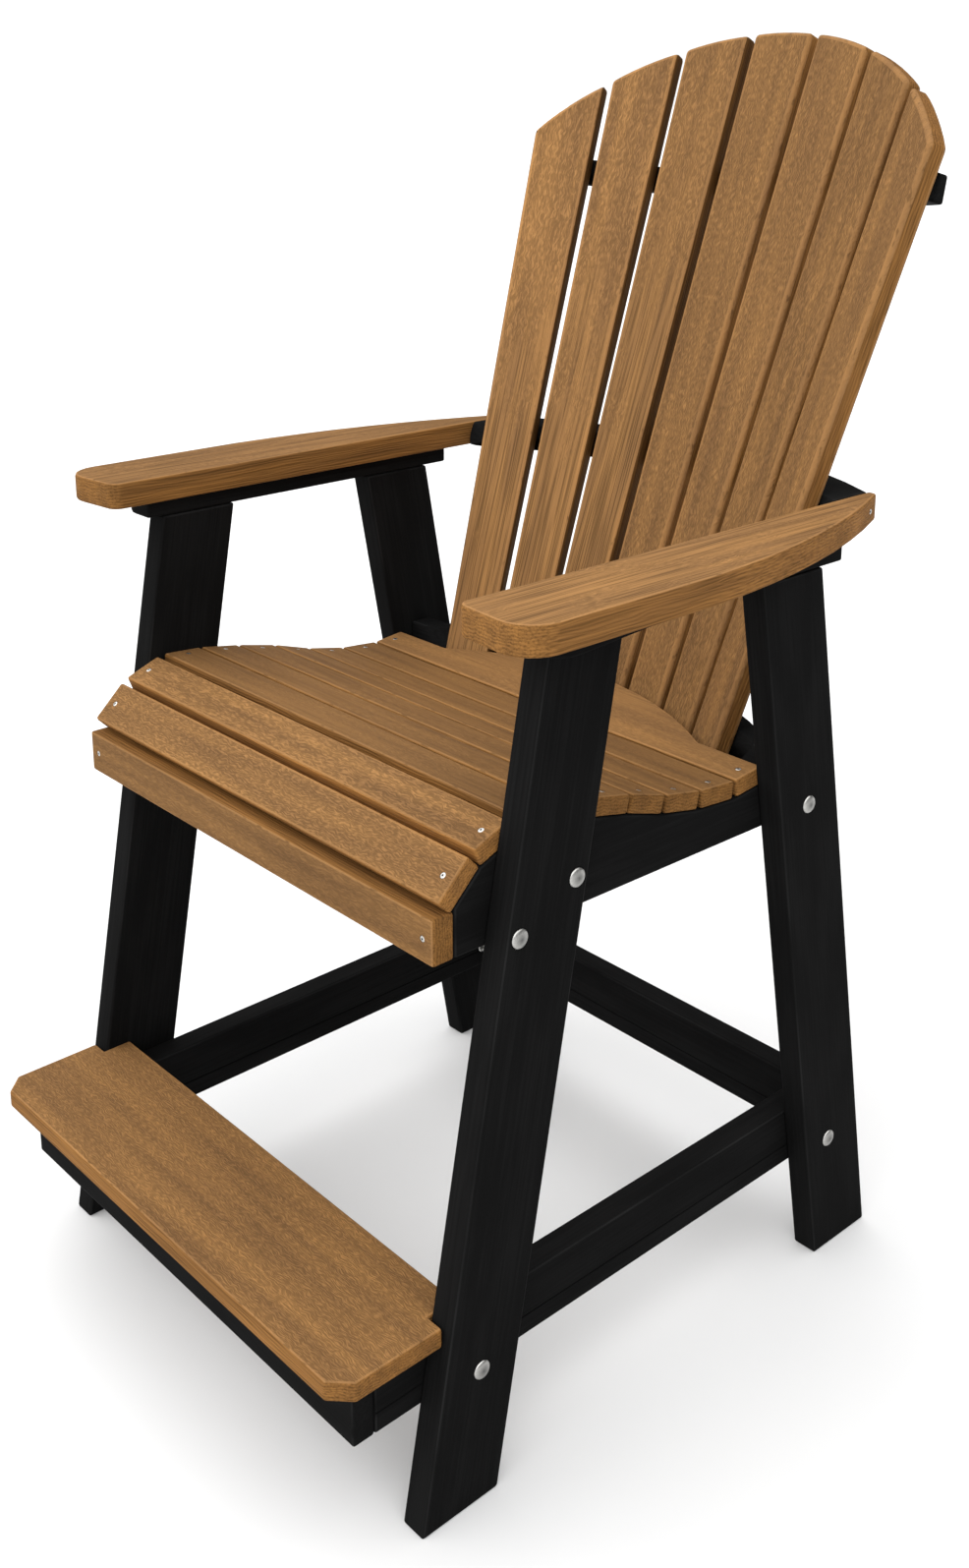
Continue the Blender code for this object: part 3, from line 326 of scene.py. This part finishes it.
    # Planed sides show the warmer core under the embossed skin.
    colour = add_node(
        tree,
        "ShaderNodeMix",
        {"Factor": planed, 6: face_colour.outputs[2], 7: linear("#FFF4DA")},
        data_type="RGBA",
        blend_type="MULTIPLY",
    )
    sheen = add_node(
        tree,
        "ShaderNodeMapRange",
        {"Value": noise["streaks"], "From Min": 0.3, "From Max": 0.7, "To Min": 0.8, "To Max": 0.66},
    )
    bump = add_node(
        tree, "ShaderNodeBump", {"Strength": 0.6, "Distance": 0.5 * MM, "Height": relief.outputs[0]}
    )
    tree.links.new(colour.outputs[2], shader.inputs["Base Color"])
    tree.links.new(sheen.outputs[0], shader.inputs["Roughness"])
    tree.links.new(bump.outputs[0], shader.inputs["Normal"])
    return material


def black_lumber():
    """HDPE lumber coloured black through: a deep matt black with faint grey grain along the board, and a
    painted highlight that makes its rounded edges paler."""
    material, tree, shader = new_finish("black_hdpe_lumber", IOR=1.54, Specular_IOR_Level=0.004)
    place = add_node(tree, "ShaderNodeAttribute", attribute_name="board_place").outputs["Vector"]
    edge = add_node(tree, "ShaderNodeAttribute", attribute_name="edge").outputs["Fac"]
    noise = lumber_noises(
        tree, place, (("lines", (130, 2.6, 2.6), 2.5), ("clouds", (120, 30, 30), 2.0))
    )

    # Grain: grey lines that come and go in clouds.
    blend = add_node(tree, "ShaderNodeMath", {0: noise["lines"], 1: noise["clouds"]}, operation="MULTIPLY")
    tone = add_node(tree, "ShaderNodeValToRGB", {"Fac": blend.outputs[0]})
    tone.color_ramp.elements[0].position = 0.17
    tone.color_ramp.elements[0].color = linear("#131313")
    tone.color_ramp.elements[1].position = 0.36
    tone.color_ramp.elements[1].color = linear("#181818")

    # Rounded edges are painted a paler grey as a highlight, more in some clouds than in others.
    rubbed_and_highlit = add_node(
        tree,
        "ShaderNodeMapRange",
        {"Value": noise["clouds"], "From Min": 0.3, "From Max": 0.7, "To Max": 0.55},
    )
    worn_and_highlit = add_node(tree, "ShaderNodeMath", {0: rubbed_and_highlit.outputs[0], 1: edge}, operation="MULTIPLY")
    colour = add_node(
        tree,
        "ShaderNodeMix",
        {"Factor": worn_and_highlit.outputs[0], 6: tone.outputs[0], 7: linear("#2B2B2B")},
        data_type="RGBA",
    )
    sheen = add_node(
        tree,
        "ShaderNodeMapRange",
        {"Value": noise["lines"], "From Min": 0.3, "From Max": 0.7, "To Min": 0.46, "To Max": 0.6},
    )
    bump = add_node(
        tree, "ShaderNodeBump", {"Strength": 0.6, "Distance": 0.4 * MM, "Height": noise["lines"]}
    )
    tree.links.new(colour.outputs[2], shader.inputs["Base Color"])
    tree.links.new(sheen.outputs[0], shader.inputs["Roughness"])
    tree.links.new(bump.outputs[0], shader.inputs["Normal"])
    return material


def stainless():
    """Stainless steel, cold headed and tumbled: bright grey with fine turning marks, painted bright at the
    rim as a reflection and painted darker in the middle and in the recess as shade."""
    material, tree, shader = new_finish("tumbled_stainless_steel", Metallic=1.0)
    painted_shine = add_node(tree, "ShaderNodeAttribute", attribute_name="painted_shine").outputs["Fac"]
    place = add_node(tree, "ShaderNodeTexCoord").outputs["Object"]

    # Real turning marks are too fine to show, so these are drawn as coarse as they need to be.
    mark_size = 1.6 * MM
    marks = add_node(
        tree, "ShaderNodeTexNoise", {"Vector": place, "Scale": 1 / mark_size, "Detail": 3.0}
    ).outputs[0]
    # Painted reflection and shade: each fastener's painted shine runs from a dark grey to bright steel.
    tone = add_node(tree, "ShaderNodeValToRGB", {"Fac": painted_shine})
    tone.color_ramp.elements[0].color = linear("#3A3A3A")
    tone.color_ramp.elements[1].color = linear("#CBCAC6")
    shade = add_node(
        tree,
        "ShaderNodeMapRange",
        {"Value": marks, "From Min": 0.3, "From Max": 0.7, "To Min": 0.8, "To Max": 1.0},
    )
    colour = add_node(
        tree,
        "ShaderNodeMix",
        {"Factor": 1.0, 6: tone.outputs[0], 7: shade.outputs[0]},
        data_type="RGBA",
        blend_type="MULTIPLY",
    )
    rough = add_node(
        tree,
        "ShaderNodeMapRange",
        {"Value": marks, "From Min": 0.3, "From Max": 0.7, "To Min": 0.34, "To Max": 0.46},
    )
    tree.links.new(colour.outputs[2], shader.inputs["Base Color"])
    tree.links.new(rough.outputs[0], shader.inputs["Roughness"])
    return material


def studio_floor():
    """Matt opal acrylic lit from below: a bright, even white with the faintest mottling, on which shadows
    stay pale."""
    material, tree, shader = new_finish(
        "opal_acrylic_light_table", Roughness=0.9, Specular_IOR_Level=0.1, Emission_Strength=0.07
    )
    shader.inputs["Emission Color"].default_value = linear("#FFFFFF")
    place = add_node(tree, "ShaderNodeTexCoord").outputs["Object"]
    mottle_size = 400 * MM
    mottle = add_node(
        tree, "ShaderNodeTexNoise", {"Vector": place, "Scale": 1 / mottle_size, "Detail": 3.0}
    )
    tone = add_node(tree, "ShaderNodeValToRGB", {"Fac": mottle.outputs[0]})
    tone.color_ramp.elements[0].color = linear("#D1D1D1")
    tone.color_ramp.elements[1].color = linear("#D4D4D4")
    tree.links.new(tone.outputs[0], shader.inputs["Base Color"])
    return material


def new_tree(name, **sockets):
    """A Geometry Nodes tree with these named inputs: the tree, its input sockets and its output node."""
    tree = bpy.data.node_groups.new(name, "GeometryNodeTree")
    for socket, kind in sockets.items():
        tree.interface.new_socket(socket, in_out="INPUT", socket_type=f"NodeSocket{kind}")
    tree.interface.new_socket("result", in_out="OUTPUT", socket_type="NodeSocketGeometry")
    given = add_node(tree, "NodeGroupInput").outputs
    return tree, given, add_node(tree, "NodeGroupOutput")


def dressed_board_tree():
    """Gives a board its grain's own coordinates, marks its planed and rounded faces, and sets its finish."""
    tree, given, result = new_tree(
        "dressed_board",
        board="Geometry",
        along="Vector",
        facing="Vector",
        middle="Vector",
        half_length="Float",
        grain_shift="Float",
        curl_at_foot="Float",
        curl_at_head="Float",
        emboss="Float",
        rub_end="Float",
        pigment="Float",
        side_pigment="Float",
        finish="Material",
    )
    position = add_node(tree, "GeometryNodeInputPosition").outputs[0]
    offset = add_node(
        tree, "ShaderNodeVectorMath", {0: position, 1: given["middle"]}, operation="SUBTRACT"
    ).outputs[0]
    across = add_node(
        tree, "ShaderNodeVectorMath", {0: given["facing"], 1: given["along"]}, operation="CROSS_PRODUCT"
    ).outputs[0]
    reach, width, depth = [
        add_node(tree, "ShaderNodeVectorMath", {0: offset, 1: axis}, operation="DOT_PRODUCT").outputs["Value"]
        for axis in (given["along"], across, given["facing"])
    ]
    shifted = add_node(tree, "ShaderNodeMath", {0: depth, 1: given["grain_shift"]}, operation="ADD")
    place = add_node(tree, "ShaderNodeCombineXYZ", {0: reach, 1: width, 2: shifted.outputs[0]})
    foot = add_node(tree, "ShaderNodeMath", {0: given["half_length"], 1: -1.0}, operation="MULTIPLY")
    curl = add_node(
        tree,
        "ShaderNodeMapRange",
        {
            "Value": reach,
            "From Min": foot.outputs[0],
            "From Max": given["half_length"],
            "To Min": given["curl_at_foot"],
            "To Max": given["curl_at_head"],
        },
    )
    normal = add_node(tree, "GeometryNodeInputNormal").outputs[0]
    lean = add_node(tree, "ShaderNodeVectorMath", {0: normal, 1: given["facing"]}, operation="DOT_PRODUCT")
    flatness = add_node(tree, "ShaderNodeMath", {0: lean.outputs["Value"]}, operation="ABSOLUTE").outputs[0]
    planed = add_node(
        tree, "ShaderNodeMath", {0: flatness, 1: given["rub_end"]}, operation="LESS_THAN"
    ).outputs[0]
    narrow = add_node(tree, "ShaderNodeMath", {0: flatness, 1: WIDE_FACE}, operation="LESS_THAN").outputs[0]
    edge = add_node(tree, "ShaderNodeMath", {0: narrow, 1: planed}, operation="SUBTRACT").outputs[0]
    # Painted light and shade per board, with a separate value on its planed sides.
    pigment = add_node(tree, "ShaderNodeMix", {0: planed, 2: given["pigment"], 3: given["side_pigment"]})
    geometry = given["board"]
    for name, kind, domain, value in (
        ("board_place", "FLOAT_VECTOR", "POINT", place.outputs[0]),
        ("curl", "FLOAT", "POINT", curl.outputs[0]),
        ("emboss", "FLOAT", "POINT", given["emboss"]),
        ("pigment", "FLOAT", "FACE", pigment.outputs[0]),
        ("planed", "FLOAT", "FACE", planed),
        ("edge", "FLOAT", "FACE", edge),
    ):
        geometry = add_node(
            tree,
            "GeometryNodeStoreNamedAttribute",
            {"Geometry": geometry, "Name": name, "Value": value},
            data_type=kind,
            domain=domain,
        ).outputs[0]
    smooth = add_node(tree, "GeometryNodeSetShadeSmooth", {"Geometry": geometry})
    real = add_node(tree, "GeometryNodeRealizeInstances", {"Geometry": smooth.outputs[0]})
    painted = add_node(
        tree, "GeometryNodeSetMaterial", {"Geometry": real.outputs[0], "Material": given["finish"]}
    )
    tree.links.new(painted.outputs[0], result.inputs[0])
    return tree


def fasteners_tree():
    """Sets a fastener on every given point, turned to face out, each driven home to its own angle."""
    tree, given, result = new_tree(
        "set_fasteners", places="Geometry", fastener="Object", seed="Int", finish="Material"
    )
    facing = add_node(
        tree, "GeometryNodeInputNamedAttribute", {"Name": "facing"}, data_type="FLOAT_VECTOR"
    )
    turned_out = add_node(tree, "FunctionNodeAlignRotationToVector", {"Vector": facing.outputs[0]}, axis="Z")
    drive = add_node(
        tree,
        "FunctionNodeRandomValue",
        {"Min": (0.0, 0.0, 0.0), "Max": (0.0, 0.0, math.tau), "Seed": given["seed"]},
        data_type="FLOAT_VECTOR",
    )
    driven = add_node(
        tree,
        "FunctionNodeRotateRotation",
        {"Rotation": turned_out.outputs[0], "Rotate By": drive.outputs[0]},
        rotation_space="LOCAL",
    )
    shape = add_node(tree, "GeometryNodeObjectInfo", {"Object": given["fastener"]})
    points = add_node(tree, "GeometryNodeMeshToPoints", {"Mesh": given["places"]})
    placed = add_node(
        tree,
        "GeometryNodeInstanceOnPoints",
        {
            "Points": points.outputs[0],
            "Instance": shape.outputs["Geometry"],
            "Rotation": driven.outputs[0],
        },
    )
    real = add_node(tree, "GeometryNodeRealizeInstances", {"Geometry": placed.outputs[0]})
    painted = add_node(
        tree, "GeometryNodeSetMaterial", {"Geometry": real.outputs[0], "Material": given["finish"]}
    )
    tree.links.new(painted.outputs[0], result.inputs[0])
    return tree


def new_piece(name, mesh):
    """A new object at the origin that holds this mesh."""
    piece = bpy.data.objects.new(name, mesh)
    bpy.context.scene.collection.objects.link(piece)
    return piece


def run_tree(piece, tree, values, soft_corners=False):
    """Runs a Geometry Nodes tree on a piece and keeps the result as the piece's plain mesh."""
    modifier = piece.modifiers.new(tree.name, "NODES")
    modifier.node_group = tree
    for socket in tree.interface.items_tree:
        if socket.name in values:
            modifier[socket.identifier] = values[socket.name]
    if soft_corners:
        piece.modifiers.new("soft_corners", "WEIGHTED_NORMAL")
    depsgraph = bpy.context.evaluated_depsgraph_get()
    mesh = bpy.data.meshes.new_from_object(piece.evaluated_get(depsgraph))
    piece.modifiers.clear()
    piece.data = mesh


def hand_over(piece, slot, *nodes):
    """Makes a finished piece part of the chair, in place of these CAD nodes."""
    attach(piece, "root")
    if nodes:
        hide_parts(*nodes)


def merged_copy(node):
    """A bmesh of a CAD node with its loose triangles joined into whole faces."""
    copy = bmesh.new()
    copy.from_mesh(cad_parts[node].data)
    bmesh.ops.remove_doubles(copy, verts=copy.verts, dist=WELD_REACH)
    bmesh.ops.dissolve_limit(copy, angle_limit=FLAT_ANGLE, verts=copy.verts, edges=copy.edges)
    return copy


def grain_axes(copy, node):
    """The direction of a board's length and of its widest face."""
    widest = max(copy.faces, key=lambda face: face.calc_area())
    longest = max(copy.edges, key=lambda line: line.calc_length())
    along = Vector((1, 0, 0)) if node in BACK_BARS else longest.verts[1].co - longest.verts[0].co
    along = along - along.dot(widest.normal) * widest.normal
    if along.z < 0:
        along = -along
    return along.normalized(), widest.normal.copy()


def dress_boards(boards, slot, finish, tree):
    """Dresses each CAD board and shows it in the node's place."""
    for number, node in enumerate(boards):
        copy = merged_copy(node)
        along, facing = grain_axes(copy, node)
        reaches = [vertex.co.dot(along) for vertex in copy.verts]
        low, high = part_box(node)
        mesh = bpy.data.meshes.new(f"{node}_board")
        copy.to_mesh(mesh)
        copy.free()
        piece = new_piece(f"{node}_board", mesh)
        curl_at_foot, curl_at_head = CURL.get(node, CURLY)
        pigment = PAINTED_LIGHT_AND_TONE.get(node, 1.0)
        run_tree(
            piece,
            tree,
            {
                "along": along,
                "facing": facing,
                "middle": (low + high) / 2,
                "half_length": (max(reaches) - min(reaches)) / 2,
                "grain_shift": GRAIN_SHIFT * (number + 1),
                "curl_at_foot": curl_at_foot,
                "curl_at_head": curl_at_head,
                "emboss": EMBOSS.get(node, 1.0),
                "rub_end": WEAR_AND_HIGHLIGHT_ENDS.get(node, WEAR_AND_HIGHLIGHT_END),
                "pigment": pigment,
                "side_pigment": SIDE_PAINTED_LIGHT_AND_TONE.get(node, pigment),
                "finish": finish,
            },
            soft_corners=True,
        )
        hand_over(piece, slot, node)


def turned(name, rings, segments=24):
    """A closed turned solid on the Z axis. Each ring is its radius, height, corner count and painted shine:
    its steel is painted bright as a reflection where this is high and dark as shade where it is low. A ring
    with corners is a polygon of that many corners instead of a circle."""
    lathe = bmesh.new()
    painted_shine = lathe.verts.layers.float.new("painted_shine")
    loops = []
    for radius, height, corners, shine in rings:
        loop = []
        for step in range(segments):
            angle = math.tau * step / segments
            reach = radius
            if corners:
                sector = math.tau / corners
                reach *= math.cos(sector / 2) / math.cos(angle % sector - sector / 2)
            vertex = lathe.verts.new((reach * math.cos(angle), reach * math.sin(angle), height))
            vertex[painted_shine] = shine
            loop.append(vertex)
        loops.append(loop)
    for lower, upper in zip(loops, loops[1:]):
        for step in range(segments):
            after = (step + 1) % segments
            lathe.faces.new((lower[step], lower[after], upper[after], upper[step]))
    lathe.faces.new(list(reversed(loops[0])))
    lathe.faces.new(loops[-1])
    bmesh.ops.recalc_face_normals(lathe, faces=lathe.faces)
    mesh = bpy.data.meshes.new(name)
    lathe.to_mesh(mesh)
    lathe.free()
    mesh.shade_smooth()
    mesh.set_sharp_from_angle(angle=SHARP_CORNER)
    return bpy.data.objects.new(name, mesh)


def set_fasteners(name, fastener, places, tree, finish, nodes=()):
    """One piece with this fastener at every place, each place a point and the direction it faces."""
    mesh = bpy.data.meshes.new(f"{name}_places")
    mesh.from_pydata([point for point, direction in places], [], [])
    facing = mesh.attributes.new("facing", "FLOAT_VECTOR", "POINT")
    for entry, (point, direction) in zip(facing.data, places):
        entry.vector = direction
    piece = new_piece(name, mesh)
    run_tree(piece, tree, {"fastener": fastener, "seed": DRIVE_SEEDS[name], "finish": finish})
    hand_over(piece, "stainless", *nodes)


def carriage_bolt(length, head):
    """A domed carriage bolt whose head's top is at the origin, with a rim painted bright as a reflection and
    a crown painted darker.
    """
    steps = 7
    rim_angle = math.radians(88)
    # The crown is painted darker and the rim brighter, a painted reflection of the head.
    crown_painted_shine = 0.15
    painted_shine_step = 0.13
    neck = 4 * MM
    chamfer = 1 * MM
    dome = [(0.4 * MM, 0.0, 0, crown_painted_shine)]
    for step in range(1, steps + 1):
        angle = rim_angle * step / steps
        painted_shine = min(1.0, crown_painted_shine + painted_shine_step * step)
        dome.append((head / 2 * math.sin(angle), BOLT_RISE * (math.cos(angle) - 1), 0, painted_shine))
    shank = BOLT_SHANK / 2
    return turned(
        "carriage_bolt",
        dome
        + [
            (head / 2 - 0.3 * MM, -BOLT_RISE, 0, 1.0),
            (shank * 1.1, -BOLT_RISE, 0, 0.6),
            (shank, -BOLT_RISE - neck, 0, 0.7),
            (shank, chamfer - length, 0, 0.7),
            (shank - chamfer, -length, 0, 0.8),
        ],
        segments=40,
    )


def flange_nut(height, across, flange):
    """A hexagon flange nut that sits on the origin and rises along Z."""
    bore = NUT_BORE / 2
    return turned(
        "flange_nut",
        [
            # The bore is painted darker as shade, and the flange brightest as a reflection.
            (bore, 0.2 * MM, 0, 0.4),
            (flange / 2 - 0.4 * MM, 0.0, 0, 0.8),
            (flange / 2, 0.4 * MM, 0, 1.0),
            (flange / 2, 1.3 * MM, 0, 1.0),
            (across / 2, 2.4 * MM, 6, 0.9),
            (across / 2, height - 0.8 * MM, 6, 0.9),
            (across / 2 * 0.88, height, 0, 1.0),
            (bore + 0.7 * MM, height, 0, 0.8),
            (bore, height - 0.7 * MM, 0, 0.4),
        ],
        segments=48,
    )


def countersunk_screw(name, length):
    """A countersunk wood screw with a slightly domed head and a square recess. Its rim is at the origin."""
    head = SCREW_HEAD / 2
    shank = SCREW_SHANK / 2
    point = 8 * MM
    return turned(
        name,
        [
            # The square recess is painted dark as shade, and the ring around it bright as a reflection.
            (0.8 * MM, -1.0 * MM, 4, 0.1),
            (1.1 * MM, 0.35 * MM, 4, 0.3),
            (1.5 * MM, 0.35 * MM, 0, 0.9),
            (2.2 * MM, 0.25 * MM, 0, 1.0),
            (head - 0.3 * MM, 0.0, 0, 1.0),
            (head - 0.2 * MM, -0.3 * MM, 0, 1.0),
            (shank, -2.6 * MM, 0, 0.6),
            (shank, point - length, 0, 0.6),
            (0.2 * MM, -length, 0, 0.6),
        ],
    )


def screw_seat(node, side):
    """The point where a screw head sits in a seat board's bored end, and the direction it faces."""
    copy = merged_copy(node)
    facing = grain_axes(copy, node)[1]
    if facing.z - facing.y < 0:
        facing = -facing
    rim = [v.co for v in copy.verts if abs(v.co.x - SIDES[side] * SCREW_LINE) < HOLE_REACH]
    middle = sum(rim, Vector()) / len(rim)
    top = max((point - middle).dot(facing) for point in rim)
    copy.free()
    return middle + facing * (top - SCREW_SINK), facing


def bar_screw(bar, slat):
    """The point on a bar's rear face behind the middle of a back slat, and the direction it faces."""
    low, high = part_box(bar)
    level = (low.z + high.z) / 2
    slat_copy = merged_copy(slat)
    along, facing = grain_axes(slat_copy, slat)
    slat_copy.free()
    low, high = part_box(slat)
    middle = (low + high) / 2
    inside = middle + along * ((level - middle.z) / along.z)
    rearward = Vector((facing.x, facing.y, 0.0)) * math.copysign(1.0, facing.y)
    bar_copy = merged_copy(bar)
    surface = BVHTree.FromBMesh(bar_copy)
    bar_copy.free()
    return surface.ray_cast(inside + rearward * BEHIND_BACK, -rearward)[:2]


def outer_ends(nodes, turn):
    """The outer end of each of these nodes, and the direction it faces: out with a turn of 1, in with -1."""
    places = []
    for node in nodes:
        outward = SIDES[node.rpartition("_")[2]]
        low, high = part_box(node)
        end = (low + high) / 2
        end.x += outward * (high.x - low.x) / 2
        places.append((end, Vector((turn * outward, 0, 0))))
    return places


def fit_fasteners(tree, finish):
    """Bolts and nuts through the frame, and screws in the seat, the arms and the bars behind the back."""
    bolts = [f"{joint}_bolt_{side}" for joint in BOLT_JOINTS for side in SIDES]
    low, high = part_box(bolts[-1])
    bolt = carriage_bolt(high.x - low.x, high.z - low.z)
    set_fasteners("carriage_bolts", bolt, outer_ends(bolts, 1), tree, finish, bolts)

    nuts = [f"{joint}_nut_{side}" for joint in BOLT_JOINTS for side in SIDES]
    low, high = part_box(nuts[-1])
    nut = flange_nut(high.x - low.x, NUT_ACROSS, min(high.z - low.z, high.y - low.y))
    set_fasteners("flange_nuts", nut, outer_ends(nuts, -1), tree, finish, nuts)

    arm_screws = [f"arm_brace_screw_{side}" for side in SIDES]
    low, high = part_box(arm_screws[-1])
    arm_screw = countersunk_screw("arm_screw", high.x - low.x)
    set_fasteners("arm_screws", arm_screw, outer_ends(arm_screws, 1), tree, finish, arm_screws)

    screw = countersunk_screw("wood_screw", SCREW_LENGTH)
    seat_places = [screw_seat(node, side) for node in SEAT_SLATS + ["seat_apron"] for side in SIDES]
    set_fasteners("seat_screws", screw, seat_places, tree, finish)
    bar_places = [bar_screw(bar, slat) for bar in BACK_BARS for slat in BACK_SLATS]
    set_fasteners("back_screws", screw, bar_places, tree, finish)


def lay_floor(finish):
    """A white floor that runs far past the picture."""
    plane = bmesh.new()
    bmesh.ops.create_grid(plane, x_segments=1, y_segments=1, size=FLOOR_REACH)
    mesh = bpy.data.meshes.new("floor")
    plane.to_mesh(mesh)
    plane.free()
    mesh.materials.append(finish)
    new_piece("floor", mesh)


def light_studio():
    """A white room that shows as pure white behind the chair and is brightest ahead of it, on its right
    and above, and one very soft light overhead."""
    world = bpy.data.worlds.new("white_room")
    bpy.context.scene.world = world
    world.use_nodes = True
    tree = world.node_tree
    background = tree.nodes["Background"]
    background.inputs["Color"].default_value = linear("#FFFFFF")
    direction = add_node(tree, "ShaderNodeTexCoord").outputs["Generated"]
    towards = add_node(
        tree, "ShaderNodeVectorMath", {0: direction, 1: ROOM_BRIGHT_SIDE}, operation="DOT_PRODUCT"
    )
    glow = add_node(
        tree,
        "ShaderNodeMapRange",
        {"Value": towards.outputs["Value"], "From Min": -1.0, "To Min": ROOM_DIM, "To Max": ROOM_BRIGHT},
    )
    seen = add_node(tree, "ShaderNodeLightPath").outputs["Is Camera Ray"]
    strength = add_node(tree, "ShaderNodeMix", {0: seen, 2: glow.outputs[0], 3: ROOM_SEEN})
    tree.links.new(strength.outputs[0], background.inputs["Strength"])
    lamp = bpy.data.lights.new("overhead_softbox", "SUN")
    lamp.energy = SOFTBOX_ENERGY
    lamp.angle = SOFTBOX_SPREAD
    softbox = bpy.data.objects.new("overhead_softbox", lamp)
    softbox.rotation_euler = SOFTBOX_SIDE.to_track_quat("Z", "Y").to_euler()
    bpy.context.scene.collection.objects.link(softbox)
    bpy.context.scene.view_settings.view_transform = "Standard"


def place_camera():
    """The photograph's camera. The picture's long side is upright, and takes the whole sensor width."""
    lens = bpy.data.cameras.new("camera")
    lens.lens = CAMERA_LENS
    lens.sensor_width = SENSOR_WIDTH
    lens.shift_y = CAMERA_SHIFT
    camera = bpy.data.objects.new("camera", lens)
    camera.location = CAMERA_PLACE
    camera.rotation_euler = CAMERA_TURN
    bpy.context.scene.collection.objects.link(camera)
    bpy.context.scene.camera = camera


place_camera()
light_studio()
lay_floor(studio_floor())
board_tree = dressed_board_tree()
dress_boards(BROWN_BOARDS, "brown_lumber", brown_lumber(), board_tree)
dress_boards(BLACK_BOARDS, "black_lumber", black_lumber(), board_tree)
fit_fasteners(fasteners_tree(), stainless())
